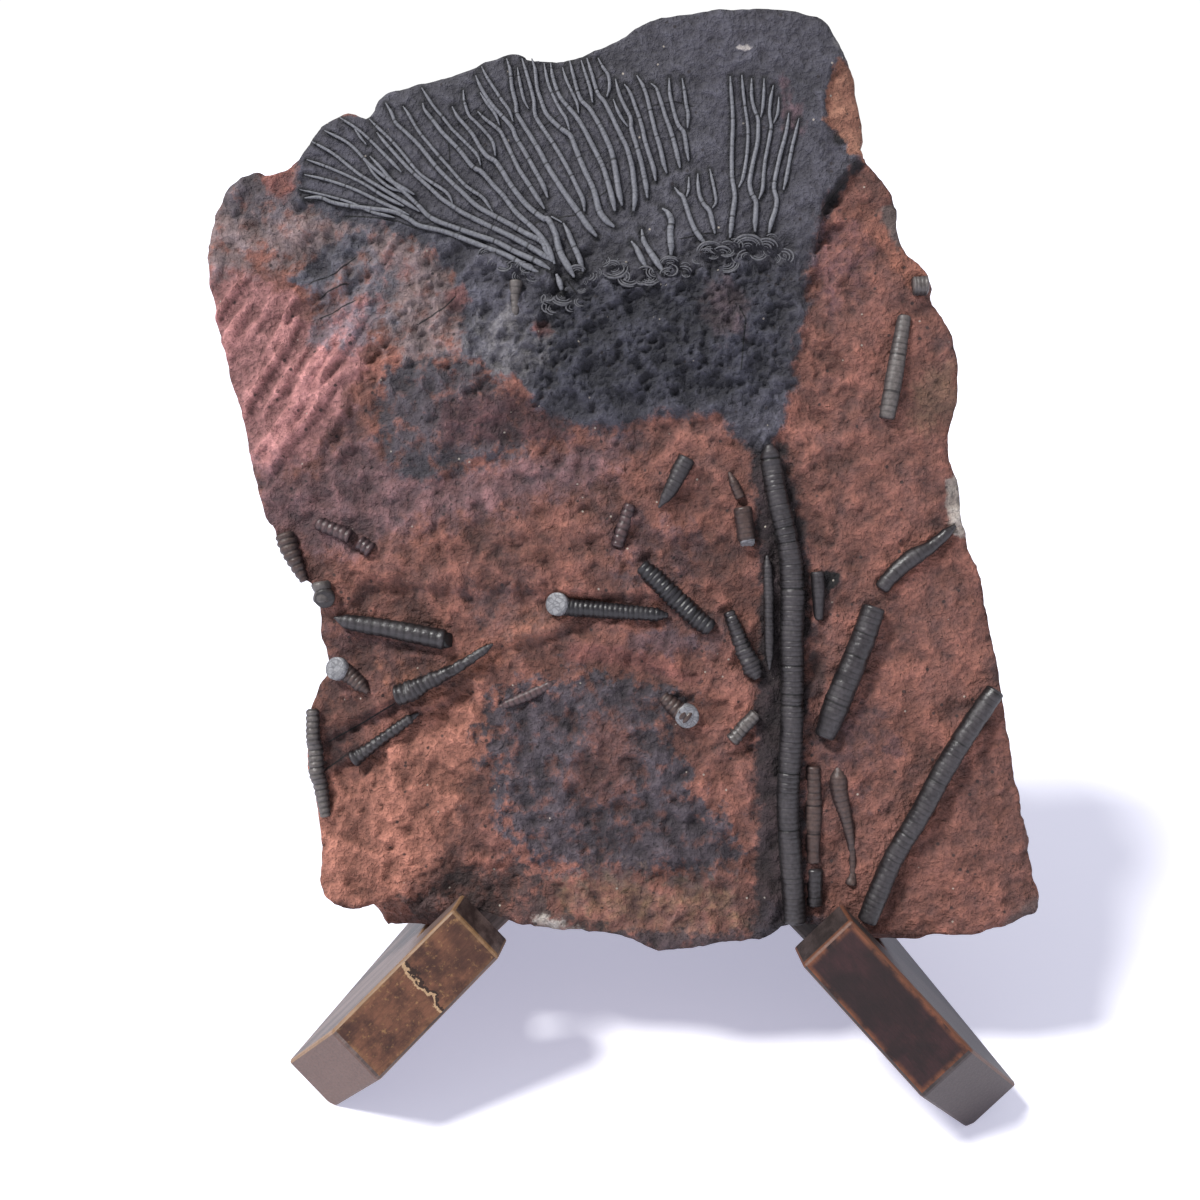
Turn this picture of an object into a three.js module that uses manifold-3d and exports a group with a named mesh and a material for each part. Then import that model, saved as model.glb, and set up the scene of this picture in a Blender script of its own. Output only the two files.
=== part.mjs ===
// Crinoid fossil plate on its two-board wooden stand.
//
// Units are millimetres, +Z is up and the fossil faces -Y. The rock slab leans back on the
// stand. Everything on the slab is placed in slab coordinates: u runs to the right across its
// face, v runs up its face from the line it rests on, and w stands out of the face towards
// the viewer. The stand's two boards cross at right angles about an axis that runs square
// through the slab, so they are placed in the same tilted coordinates.

import * as THREE from 'three';
import { mergeVertices } from 'three/addons/utils/BufferGeometryUtils.js';
import Module from 'manifold-3d';

// ---------------------------------------------------------------- driving dimensions (mm)

const LEAN = THREE.MathUtils.degToRad(18.75);  // how far the slab leans back from upright
const GAP = 0.3;                               // clearance between pieces that touch

const SLAB_THICKNESS = 22;
const SLAB_BEVEL = 1.5;                        // broken front and back edges of the rock
const SLAB_FRONT = 2;                          // slab face, behind the front tips of the feet
const SLAB_FOOT = 42;                          // v = 0, up the face from the feet

const FOOT_HALF_SPREAD = 73.1;                 // inner corner of each front foot, from centre
const FOOT_TRIM = 1.2;                         // height planed off the sharp foot corner
const BOARD_THICKNESS = 15;
const BOARD_LENGTH = 192;                      // from the foot to the upper end
const BOARD_BACK = 92;                         // back edge, behind the front tips of the feet
const LIP_FOOT = { along: 21, out: 18 };       // lower front corner of the lip
const LIP_TIP = { along: 56, out: 9 };         // upper front corner of the lip
const LIP_BACK = 1.4;                          // back of the lip, behind the front tips
const LIP_TOP_BACK = 57;                       // upper back corner of the lip, up the board
const SEAT_HEIGHT = 42.5;                      // seat that carries the slab, up the board

const ARM_FLATNESS = 0.9;                      // height of an arm's ridge over its half width
const ARM_LIFT = 0.4;                          // widest level of an arm, in front of the slab
const ARM_BACK = 0.1;                          // depth of an arm's back over its half width
const ARM_STEP = 7;                            // length of one straight stretch of an arm
const STEM_STEP = 14;                          // length of one straight stretch of a stem
const ARM_SIDES = 6;
const STEM_SIDES = 8;

const CUTTER_OVERRUN = 10;                     // how far a cutting block runs past what it cuts
const GROUND_SIZE = 600;                       // block that planes the feet flat
const MERGE_TOLERANCE = 1e-4;                  // corners closer than this are one corner

// ---------------------------------------------------------------- outline of the slab (u, v)

const SLAB_OUTLINE = [
  [-103, 165], [-100, 171], [-94, 174.7], [-90, 173.7], [-83, 177.5], [-78, 185], [-72, 188.2],
  [-67.5, 186.5], [-64.3, 191.2], [-58, 193.4], [-51, 195.2], [-38, 200], [-32.6, 201],
  [-30, 199.6], [-22.5, 198.8], [-15.5, 201.2], [-5, 207], [3, 209], [11.5, 210.6], [30, 210.3],
  [36, 207.8], [40.2, 202], [43, 195], [44.8, 183], [44.6, 178.8], [50, 172.6], [53.2, 167],
  [54.3, 159], [60.5, 151.4], [60.5, 145.5], [64, 141.3], [66.5, 134], [67, 124], [65.8, 114.5],
  [67.6, 105], [74.8, 76], [78.3, 62], [82.2, 40], [86, 21], [88.6, 10.5], [87.6, 6.6],
  [79.6, 3.8], [70.7, 1.6], [55, 2], [38.9, 2.8], [32, 3.2], [25, -0.4], [9, -2.7], [2, -3.3],
  [-7, -0.2], [-25, 0.6], [-39, 3.6], [-58, 5.6], [-64, 6.6], [-68.5, 4.2], [-74.7, 6],
  [-77, 10], [-77.8, 25], [-80, 37], [-80, 51], [-75.6, 61], [-77.4, 68], [-78.7, 78],
  [-85.7, 85], [-88.5, 92.5], [-91.2, 96], [-95.7, 115], [-100.8, 134], [-104.2, 152],
];

// The lower edge hangs further down behind the face, onto the two seats it rests on.
const UNDERSIDE_REACH = 12;                    // only the slab below this v hangs down
const UNDERSIDE_DEPTH = 6;                     // how far behind the face it is fully down
const REST_HALF_SPREAD = 53.7;                 // where the slab meets the seats
const REST_WIDTH = 9;                          // half width of each place it rests on
const REST_FADE = 4.5;                         // beside it, the edge rises back over this width
const REST_LEVEL = -1.0;

// ---------------------------------------------------------------- fossil pieces (u, v, width)
// lift is how far the middle of a stem stands in front of the slab's face.

const STEMS = [
  { name: 'main_stem', lift: 0.6, route: [[25.5, 110, 4.8], [27.5, 100, 5], [30, 90, 5.2],
    [31, 80, 5.6], [31.1, 70, 5.6], [31.5, 50, 5.4], [30.9, 32, 5.2], [31.9, 18, 5.2],
    [33, 4.2, 5.2]] },
  { name: 'thin_stem_left_of_main', lift: 0, route: [[25.2, 88, 1.8], [25.7, 80, 2.4],
    [26, 70, 2.4], [26.2, 62, 1.6]] },
  { name: 'thin_stem_right_of_main', lift: -0.2, route: [[36.6, 84.5, 3.2], [37, 79, 3],
    [37.2, 73.5, 2]] },
  { name: 'parallel_stem_upper', lift: -0.3, route: [[36.7, 40, 3.4], [37, 30, 4], [37, 22, 3.2],
    [37.2, 17.6, 3.2]] },
  { name: 'parallel_stem_lower', lift: -0.3, route: [[37.5, 16.4, 4], [37.6, 7.8, 3.8]] },
  { name: 'tapering_stem', lift: -0.4, route: [[42.3, 40, 4], [42.8, 34, 4], [44.3, 28.5, 3.2],
    [45.8, 22, 2], [46.2, 16, 1.8], [45.8, 12.8, 2.8]] },
  { name: 'thick_stem', lift: 0.9, route: [[49.4, 76.8, 5.2], [47.3, 70, 5.6], [43.6, 60, 6],
    [41, 53, 6], [38.8, 46.8, 4.5]] },
  { name: 'long_diagonal_stem', lift: 1, route: [[77, 58.4, 4.4], [71.5, 50, 4.8],
    [65.7, 40, 4.8], [60.8, 30, 4.8], [55.3, 20, 4.6], [51.2, 10, 4.8], [49.2, 4.8, 4.4]] },
  { name: 'curved_stem', lift: 0.2, route: [[67.3, 95.3, 2.4], [62, 90.5, 3], [58, 88, 4],
    [54, 84.5, 3.8], [51, 80.7, 3.2]] },
  { name: 'upper_right_stem', lift: -0.2, route: [[55, 142.3, 3], [53.9, 135, 3.6],
    [52.6, 127, 4], [51.3, 119, 3.6]] },
  { name: 'edge_stub_stem', lift: 0.4, route: [[60.2, 149, 4.4], [56.6, 148.9, 4.4]] },
  { name: 'banded_stem', lift: 0.6, route: [[-74, 72.3, 1.2], [-70.5, 71.3, 3.6],
    [-60, 69.7, 4.4], [-48, 67.6, 4.8]] },
  { name: 'root_like_stem', lift: 0.4, route: [[-59, 54.5, 5], [-52, 57.8, 4],
    [-44.5, 61.7, 2.4], [-37, 66.8, 2]] },
  { name: 'beaded_stem', lift: 0.3, route: [[-69.5, 39.3, 4.2], [-67, 41, 3.4],
    [-58, 47.8, 2.4], [-54.2, 50.5, 1.8]] },
  { name: 'left_edge_stem_lower', lift: 0.2, route: [[-78.9, 51, 3], [-78.6, 45, 3.4],
    [-77.6, 36, 3.8], [-75.6, 26, 2.6]] },
  { name: 'white_ended_stem_left', lift: 0.3, route: [[-72.5, 60.4, 4.6], [-70.5, 59.3, 4.2],
    [-65.6, 55.3, 3.4]] },
  { name: 'ribbed_stem_left', lift: 0, route: [[-78.3, 94, 3.2], [-70.3, 91, 3.4]] },
  { name: 'ribbed_stub_left', lift: 0, route: [[-68.3, 89.8, 3.2], [-65.3, 87.8, 3.4]] },
  { name: 'left_edge_stem_upper', lift: 0.2, route: [[-86, 91.6, 4.6], [-84.4, 87.5, 4.6],
    [-80.9, 80.6, 2.4]] },
  { name: 'blocky_stem_end', lift: 0.8, route: [[-77, 80.6, 4.2], [-76.2, 75.8, 4.6]] },
  { name: 'white_ended_stem_centre', lift: 0.5, route: [[-22, 76, 4.8], [-19, 75.4, 4.2],
    [-10, 74.8, 3.8], [3, 74, 3]] },
  { name: 'ribbed_diagonal_stem', lift: 0.6, route: [[-3.4, 85.3, 3.6], [0, 82.3, 4.4],
    [8, 74.8, 5], [12.8, 71, 4]] },
  { name: 'ribbed_stem_centre', lift: 0.3, route: [[16.7, 75.2, 2.8], [20.3, 66.5, 3.8],
    [22.2, 62.5, 4.2], [23.6, 60, 2.2]] },
  { name: 'short_stem_centre', lift: 0.5, route: [[17.8, 45.6, 3.4], [23.5, 52, 3]] },
  { name: 'ring_ended_stem', lift: -0.3, route: [[8.2, 50.6, 5], [5.2, 52.8, 4.6],
    [2, 55.5, 3]] },
  { name: 'faint_stem_lower_left', lift: -0.4, route: [[-36, 52, 2], [-29, 55, 2.8],
    [-22, 58.6, 2]] },
  { name: 'pointed_stem', lift: 0, route: [[6.7, 110, 4.2], [5, 106.5, 4], [3, 102.5, 3.2],
    [0.4, 98.5, 1.4]] },
  { name: 'faint_stem_upper', lift: -0.3, route: [[-6, 99.3, 2.8], [-9, 89.4, 3.2]] },
  { name: 'thin_stem_by_neck', lift: -0.2, route: [[16.3, 106.8, 2], [19, 100.9, 2]] },
  { name: 'short_stem_by_neck', lift: 0.2, route: [[19.4, 98.9, 4.2], [20.6, 91.3, 4.2]] },
  { name: 'faint_stem_by_crown', lift: -0.2, route: [[-32.8, 149.8, 3], [-33, 145.5, 2.2],
    [-32.7, 140.5, 2]] },
];

// Each arm of the crown runs from its root by the cup to its tip: width at root, at tip, route.
const ARMS = [
  { name: 'arm_01', root: 1.7, tip: 1, route: [[-27.5, 151.3], [-35, 155.2], [-45, 159],
    [-55, 161.8], [-61, 165], [-71, 166.4], [-81.5, 168.2]] },
  { name: 'arm_02', root: 1.8, tip: 1, route: [[-25.2, 152.4], [-33, 156.4], [-42.5, 160.4],
    [-50, 162.8], [-55, 166.2], [-61, 171.6], [-66.5, 177.6]] },
  { name: 'arm_03', root: 1.8, tip: 1, route: [[-25.5, 155], [-34, 159.6], [-40, 162.3],
    [-47.3, 165.8], [-55, 172], [-65, 182.5]] },
  { name: 'arm_04', root: 1.8, tip: 1, route: [[-25, 157.6], [-31, 160.6], [-38, 164.4],
    [-45, 169.3], [-55.2, 180], [-60.5, 185], [-63, 189.6]] },
  { name: 'arm_05', root: 1.8, tip: 1, route: [[-26.8, 160.4], [-33, 165.8], [-41, 174.3],
    [-48.3, 181.3], [-54.5, 189.5]] },
  { name: 'arm_06', root: 2.2, tip: 1, route: [[-19.5, 150.5], [-23.4, 158], [-25.6, 162.6],
    [-30.5, 167], [-37, 175], [-41.5, 180], [-47.8, 188.8]] },
  { name: 'arm_07', root: 1.6, tip: 1, route: [[-27, 166], [-32.5, 175], [-36.9, 183.5],
    [-42, 187.8]] },
  { name: 'arm_08', root: 1.6, tip: 1, route: [[-26, 168.5], [-31, 178.5], [-34, 184],
    [-38.5, 189], [-42.5, 195.8]] },
  { name: 'arm_09', root: 2, tip: 1, route: [[-14.7, 159.8], [-20, 166.8], [-28, 179.3],
    [-33, 187.3], [-34.7, 196]] },
  { name: 'arm_10', root: 1.5, tip: 1, route: [[-17.6, 166.4], [-21.5, 175], [-29, 187],
    [-31.6, 198]] },
  { name: 'arm_11', root: 2, tip: 1, route: [[-10.8, 162], [-14, 165.5], [-17.9, 175],
    [-21, 182.4], [-26.5, 187.5], [-29.6, 198]] },
  { name: 'arm_12', root: 1.8, tip: 1, route: [[-10.7, 165.7], [-13.6, 175.5], [-19.4, 186.3],
    [-24, 192.5], [-25.5, 197.5]] },
  { name: 'arm_13', root: 1.9, tip: 1, route: [[-8.8, 166.8], [-10.5, 175], [-13.8, 184],
    [-18.7, 191.5], [-20.8, 197.6]] },
  { name: 'arm_14', root: 1.7, tip: 1, route: [[-6.3, 165.5], [-7, 175.5], [-13.2, 189.7],
    [-17, 198.6]] },
  { name: 'arm_15', root: 1.6, tip: 1, route: [[-3.3, 168.5], [-7.1, 184], [-10.8, 194.8]] },
  { name: 'arm_16', root: 1.5, tip: 1, route: [[-1.2, 172.3], [-4.4, 184], [-8.4, 193.4]] },
  { name: 'arm_17', root: 1.5, tip: 1, route: [[1.3, 174], [-2.6, 188.4], [-5.6, 195.4]] },
  { name: 'arm_18', root: 1.5, tip: 1, route: [[4.3, 175.2], [0.2, 188.6], [-2.2, 193.8]] },
  { name: 'arm_19', root: 1.4, tip: 1, route: [[6.3, 176.8], [5, 183], [1.7, 195]] },
  { name: 'arm_20', root: 1.7, tip: 1, route: [[10.4, 158], [5.2, 168.6], [2.9, 170.9]] },
  { name: 'arm_21', root: 1.6, tip: 1, route: [[12.1, 160.5], [9.6, 167], [8.1, 174]] },
  { name: 'arm_22', root: 2.2, tip: 1.6, route: [[2.3, 155.6], [2.1, 161], [0.6, 166]] },
  { name: 'arm_23', root: 2.2, tip: 1.4, route: [[0.6, 152], [-4.1, 161.4]] },
  { name: 'arm_24', root: 1.6, tip: 1, route: [[15.6, 159.5], [16.4, 169.5], [15.7, 180],
    [15, 195.5]] },
  { name: 'arm_25', root: 1.6, tip: 1, route: [[21.2, 160.8], [21.2, 167.6], [19.8, 172],
    [21.5, 184], [19.8, 195]] },
  { name: 'arm_26', root: 1.5, tip: 1, route: [[24.3, 160.5], [25.9, 168.3], [26, 175.5],
    [28.3, 187.5]] },
];

// ---------------------------------------------------------------- finishes

const FINISHES = {
  rock: { color: 0x7a4a3e, roughness: 0.95, metalness: 0 },
  fossil: { color: 0x34363b, roughness: 0.6, metalness: 0 },
  arm: { color: 0x55565a, roughness: 0.65, metalness: 0 },
  wood: { color: 0x4a2c1c, roughness: 0.45, metalness: 0 },
};

// ---------------------------------------------------------------- shaping helpers

const wasm = await Module();
wasm.setup();

// A closed geometry as a solid that can be joined or cut.
function toSolid(geometry) {
  const bare = geometry.clone();
  bare.deleteAttribute('normal');
  bare.deleteAttribute('uv');
  const merged = mergeVertices(bare, MERGE_TOLERANCE);
  return new wasm.Manifold(new wasm.Mesh({
    numProp: 3,
    vertProperties: new Float32Array(merged.attributes.position.array),
    triVerts: new Uint32Array(merged.index.array),
  }));
}

// A solid back as a geometry that a mesh can show.
function toGeometry(solid) {
  const mesh = solid.getMesh();
  const geometry = new THREE.BufferGeometry();
  geometry.setAttribute('position', new THREE.BufferAttribute(mesh.vertProperties, 3));
  geometry.setIndex(new THREE.BufferAttribute(mesh.triVerts, 1));
  geometry.computeVertexNormals();
  return geometry;
}

// A round bar bent along a route on the slab: x is u, y is v and z is w. The route's points
// hold u, v and width. Below its middle line the bar's section is squashed by underside.
function bentBar(route, { lift, sides, step, rise, underside, grow = 0 }) {
  const line = new THREE.CatmullRomCurve3(route.map(([u, v]) => new THREE.Vector3(u, v, 0)));
  const widths = new THREE.CatmullRomCurve3(
    route.map(([, , width], i) => new THREE.Vector3(i, width, 0)));
  const steps = Math.max(2, Math.round(line.getLength() / step));
  const bar = new THREE.CylinderGeometry(1, 1, 1, sides, steps);
  const place = bar.attributes.position;
  for (let i = 0; i < place.count; i += 1) {
    const share = 0.5 - place.getY(i);
    const t = line.getUtoTmapping(share);
    const middle = line.getPoint(t);
    const ahead = line.getTangent(t);
    const radius = widths.getPoint(t).y / 2 + grow;
    const side = place.getX(i) * radius;
    const up = place.getZ(i) * radius * (place.getZ(i) > 0 ? rise : underside);
    const overrun = (share === 1 ? grow : 0) - (share === 0 ? grow : 0);
    place.setXYZ(
      i,
      middle.x - ahead.y * side + ahead.x * overrun,
      middle.y + ahead.x * side + ahead.y * overrun,
      lift + up,
    );
  }
  return bar;
}

// ---------------------------------------------------------------- rock slab

// How far the lower edge hangs down at u, so that it reaches its seat.
function undersideDrop(u, v) {
  const offSeat = Math.abs(Math.abs(u) - REST_HALF_SPREAD);
  const nearSeat = THREE.MathUtils.clamp((REST_WIDTH + REST_FADE - offSeat) / REST_FADE, 0, 1);
  return Math.max(0, v - REST_LEVEL) * nearSeat;
}

function rockSlab() {
  const outline = new THREE.Shape(SLAB_OUTLINE.map(([u, v]) => new THREE.Vector2(u, v)));
  const rock = new THREE.ExtrudeGeometry(outline, {
    depth: SLAB_THICKNESS - 2 * SLAB_BEVEL,
    steps: 2,
    bevelThickness: SLAB_BEVEL,
    bevelSize: SLAB_BEVEL,
    bevelOffset: -SLAB_BEVEL,
    bevelSegments: 1,
  });
  rock.translate(0, 0, SLAB_BEVEL - SLAB_THICKNESS);
  const place = rock.attributes.position;
  for (let i = 0; i < place.count; i += 1) {
    const [u, v, w] = [place.getX(i), place.getY(i), place.getZ(i)];
    if (v < UNDERSIDE_REACH) {
      const down = THREE.MathUtils.clamp(-w / UNDERSIDE_DEPTH, 0, 1);
      place.setY(i, v - undersideDrop(u, v) * down);
    }
  }
  let solid = toSolid(rock);
  for (const stem of STEMS) {
    solid = solid.subtract(toSolid(stemBar(stem, GAP)));
  }
  return toGeometry(solid);
}

// ---------------------------------------------------------------- fossil stems and arms

function stemBar({ route, lift }, grow = 0) {
  return bentBar(route, {
    lift, grow, sides: STEM_SIDES, step: STEM_STEP, rise: 1, underside: 1,
  });
}

// An arm is a ridge with a flat back that lies on the slab's face.
function armBar({ route, root, tip }) {
  const last = route.length - 1;
  const tapered = route.map(([u, v], i) => [u, v, root + (tip - root) * (i / last)]);
  return bentBar(tapered, {
    lift: ARM_LIFT, sides: ARM_SIDES, step: ARM_STEP, rise: ARM_FLATNESS, underside: ARM_BACK,
  });
}

// ---------------------------------------------------------------- stand

// Outline of a board seen square on: out runs backwards along the stand's axis from the front
// tip of the foot, and along runs up the board from its foot.
function boardOutline() {
  const floorRise = Math.SQRT2 * Math.tan(LEAN);
  const upright = SLAB_FRONT + SLAB_THICKNESS + GAP;
  const board = new THREE.Shape();
  board.moveTo(0, 0);
  board.lineTo(BOARD_BACK, BOARD_BACK * floorRise);
  board.lineTo(BOARD_BACK, BOARD_LENGTH);
  board.lineTo(upright, BOARD_LENGTH);
  board.lineTo(upright, SEAT_HEIGHT);
  board.lineTo(LIP_BACK, SEAT_HEIGHT);
  board.lineTo(LIP_BACK, LIP_TOP_BACK);
  board.lineTo(-LIP_TIP.out, LIP_TIP.along);
  board.lineTo(-LIP_FOOT.out, LIP_FOOT.along);
  board.closePath();
  return board;
}

// side is -1 for the board whose foot is on the left, 1 for the right. The left board is
// slotted from its front edge and the right board from its back edge.
function standBoard(side) {
  const crossing = Math.SQRT2 * FOOT_HALF_SPREAD + BOARD_THICKNESS / 2;
  const upright = SLAB_FRONT + SLAB_THICKNESS + GAP;
  const middle = (upright + BOARD_BACK) / 2;
  const slotWidth = BOARD_THICKNESS + 2 * GAP;
  const board = new THREE.ExtrudeGeometry(boardOutline(), {
    depth: BOARD_THICKNESS,
    bevelEnabled: false,
  });
  const slotEnds = side < 0
    ? [upright - CUTTER_OVERRUN, middle + GAP / 2]
    : [middle - GAP / 2, BOARD_BACK + CUTTER_OVERRUN];
  const slot = new THREE.BoxGeometry(slotEnds[1] - slotEnds[0], slotWidth, 3 * BOARD_THICKNESS);
  slot.translate((slotEnds[0] + slotEnds[1]) / 2, crossing, BOARD_THICKNESS / 2);

  // Columns are where the board's own axes point: back, up the board, and through it.
  const back = new THREE.Vector3(0, Math.cos(LEAN), -Math.sin(LEAN));
  const faceUp = new THREE.Vector3(0, Math.sin(LEAN), Math.cos(LEAN));
  const across = new THREE.Vector3(-side, 0, 0);
  const upBoard = across.clone().add(faceUp).multiplyScalar(Math.SQRT1_2);
  const outward = faceUp.clone().sub(across).multiplyScalar(Math.SQRT1_2);
  const turn = new THREE.Matrix4().makeBasis(back, upBoard, outward);
  turn.setPosition(side * FOOT_HALF_SPREAD, 0, 0);

  const ground = new THREE.BoxGeometry(GROUND_SIZE, GROUND_SIZE, GROUND_SIZE);
  ground.translate(0, 0, FOOT_TRIM - GROUND_SIZE / 2);
  const shaped = toGeometry(toSolid(board).subtract(toSolid(slot)));
  shaped.applyMatrix4(turn);
  if (turn.determinant() < 0) {
    const order = shaped.index.array;
    for (let i = 0; i < order.length; i += 3) {
      [order[i], order[i + 1]] = [order[i + 1], order[i]];
    }
  }
  return toGeometry(toSolid(shaped).subtract(toSolid(ground)));
}

// ---------------------------------------------------------------- assembly

function piece(name, geometry, finish) {
  const mesh = new THREE.Mesh(geometry, new THREE.MeshStandardMaterial(FINISHES[finish]));
  mesh.name = name;
  return mesh;
}

const plate = new THREE.Group();
plate.add(piece('rock_slab', rockSlab(), 'rock'));
for (const stem of STEMS) {
  plate.add(piece(stem.name, stemBar(stem), 'fossil'));
}
for (const arm of ARMS) {
  plate.add(piece(arm.name, armBar(arm), 'arm'));
}

// Slab coordinates stand upright as (u, v, w): turned so that u is +X and w faces -Y, then
// leant back about the line through the front tips of the feet.
plate.matrixAutoUpdate = false;
plate.matrix.makeBasis(
  new THREE.Vector3(1, 0, 0),
  new THREE.Vector3(0, Math.sin(LEAN), Math.cos(LEAN)),
  new THREE.Vector3(0, -Math.cos(LEAN), Math.sin(LEAN)),
);
plate.matrix.setPosition(
  0,
  SLAB_FOOT * Math.sin(LEAN) + SLAB_FRONT * Math.cos(LEAN),
  SLAB_FOOT * Math.cos(LEAN) - SLAB_FRONT * Math.sin(LEAN),
);
plate.matrixWorldNeedsUpdate = true;

const object = new THREE.Group();
object.add(plate);
object.add(piece('stand_board_left', standBoard(-1), 'wood'));
object.add(piece('stand_board_right', standBoard(1), 'wood'));

// The origin is on the ground, under the middle of the whole object.
object.updateMatrixWorld(true);
const extent = new THREE.Box3().setFromObject(object, true);
object.position.set(
  -(extent.min.x + extent.max.x) / 2,
  -(extent.min.y + extent.max.y) / 2,
  -extent.min.z,
);

export default object;
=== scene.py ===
"""Crinoid fossil plate leaning on two crossed wooden boards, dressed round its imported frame.

Lengths are millimetres until the last step of each piece, which turns it into the frame's
metres. Everything on the rock is placed in slab coordinates: u runs to the right across the
rock's face, v runs up the face and w stands out of it.
"""
import logging
import math
import random
from dataclasses import dataclass, field, replace
from enum import Enum

import bmesh
import bpy
import numpy as np
from mathutils import Matrix, Vector, noise


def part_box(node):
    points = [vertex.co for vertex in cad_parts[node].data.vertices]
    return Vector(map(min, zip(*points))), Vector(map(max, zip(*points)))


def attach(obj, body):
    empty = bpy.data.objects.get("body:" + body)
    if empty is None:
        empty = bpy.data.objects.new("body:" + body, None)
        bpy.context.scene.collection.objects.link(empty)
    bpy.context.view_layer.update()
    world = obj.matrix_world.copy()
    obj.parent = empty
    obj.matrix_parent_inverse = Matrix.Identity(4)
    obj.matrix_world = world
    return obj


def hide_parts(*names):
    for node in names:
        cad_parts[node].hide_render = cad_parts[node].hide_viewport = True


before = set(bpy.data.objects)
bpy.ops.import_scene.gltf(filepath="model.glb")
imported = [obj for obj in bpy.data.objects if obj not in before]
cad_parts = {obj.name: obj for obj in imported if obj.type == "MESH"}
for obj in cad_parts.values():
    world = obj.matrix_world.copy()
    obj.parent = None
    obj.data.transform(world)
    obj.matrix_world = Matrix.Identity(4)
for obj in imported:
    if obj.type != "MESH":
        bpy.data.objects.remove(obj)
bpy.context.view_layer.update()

MM = 0.001
LEAN = math.radians(18.75)
ROOT_BODY = "root"
SEED = 11

log = logging.getLogger("crinoid")
Route = list[tuple[float, ...]]


# ------------------------------------------------------------------ geometry helpers

def grain(points: np.ndarray, size: float, octaves: int = 3, seed: float = 0.0) -> np.ndarray:
    """Smooth seeded noise at each point.

    Args:
        points: n by 2 or n by 3 array of places in mm.
        size: size of the largest lumps in mm.
        octaves: how many finer layers are added.
        seed: moves the pattern, so that two uses differ.

    Returns:
        One value for each point, mostly between -1 and 1.
    """
    deep = points.shape[1] > 2
    return np.array([
        noise.fractal(Vector((p[0] / size + seed, p[1] / size - seed,
                              (p[2] / size if deep else 0.0) + 1.7 * seed)), 0.7, 2.0, octaves)
        for p in points
    ])


def line_distance(points: np.ndarray, route: Route) -> tuple[np.ndarray, np.ndarray]:
    """How far each point lies from an open line, and on which side.

    Args:
        points: n by 2 array of (u, v).
        route: the line's corners, of which the first two numbers are u and v.

    Returns:
        The distance of each point, and the same distance signed plus on the line's left.
    """
    best = np.full(len(points), np.inf)
    signed = np.full(len(points), np.inf)
    for start, end in zip(route[:-1], route[1:]):
        a, b = np.array(start[:2]), np.array(end[:2])
        along = b - a
        share = np.clip((points - a) @ along / (along @ along), 0, 1)
        off = points - (a + share[:, None] * along)
        away = np.hypot(off[:, 0], off[:, 1])
        side = along[0] * (points[:, 1] - a[1]) - along[1] * (points[:, 0] - a[0])
        nearer = away < best
        best[nearer] = away[nearer]
        signed[nearer] = (away * np.where(side >= 0, 1, -1))[nearer]
    return best, signed


def outline_distance(points: np.ndarray, outline: Route) -> tuple[np.ndarray, np.ndarray]:
    """How far each point lies inside a closed outline, and the outline's nearest place.

    Args:
        points: n by 2 array of (u, v).
        outline: the outline's corners in order.

    Returns:
        The distance of each point, minus outside, and the nearest place on the outline.
    """
    corners = np.array([corner[:2] for corner in outline])
    best = np.full(len(points), np.inf)
    near = np.zeros_like(points)
    within = np.zeros(len(points), bool)
    for a, b in zip(corners, np.roll(corners, -1, axis=0)):
        along = b - a
        share = np.clip((points - a) @ along / (along @ along), 0, 1)
        place = a + share[:, None] * along
        away = np.hypot(*(points - place).T)
        nearer = away < best
        best[nearer] = away[nearer]
        near[nearer] = place[nearer]
        crosses = (a[1] > points[:, 1]) != (b[1] > points[:, 1])
        if along[1] != 0:
            at = a[0] + (points[:, 1] - a[1]) * along[0] / along[1]
            within ^= crosses & (points[:, 0] < at)
    return np.where(within, best, -best), near


def smooth_line(route: Route, step: float) -> np.ndarray:
    """A Catmull-Rom curve through a route's points, in even steps.

    Args:
        route: points of two or more numbers; all the numbers are carried along the curve.
        step: distance between the returned points in mm.

    Returns:
        Array of points, with as many columns as the route has numbers.
    """
    knots = np.array(route, float)
    knots = np.vstack([2 * knots[0] - knots[1], knots, 2 * knots[-1] - knots[-2]])
    dense = []
    for i in range(1, len(knots) - 2):
        p0, p1, p2, p3 = knots[i - 1:i + 3]
        for t in np.linspace(0, 1, 12, endpoint=False):
            dense.append(0.5 * (2 * p1 + (p2 - p0) * t + (2 * p0 - 5 * p1 + 4 * p2 - p3) * t ** 2
                                + (3 * p1 - p0 - 3 * p2 + p3) * t ** 3))
    dense.append(knots[-2])
    dense = np.array(dense)
    run = np.concatenate([[0], np.cumsum(np.hypot(*np.diff(dense[:, :2], axis=0).T))])
    count = max(2, round(run[-1] / step))
    even = np.linspace(0, run[-1], count + 1)
    return np.column_stack([np.interp(even, run, column) for column in dense.T])


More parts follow.
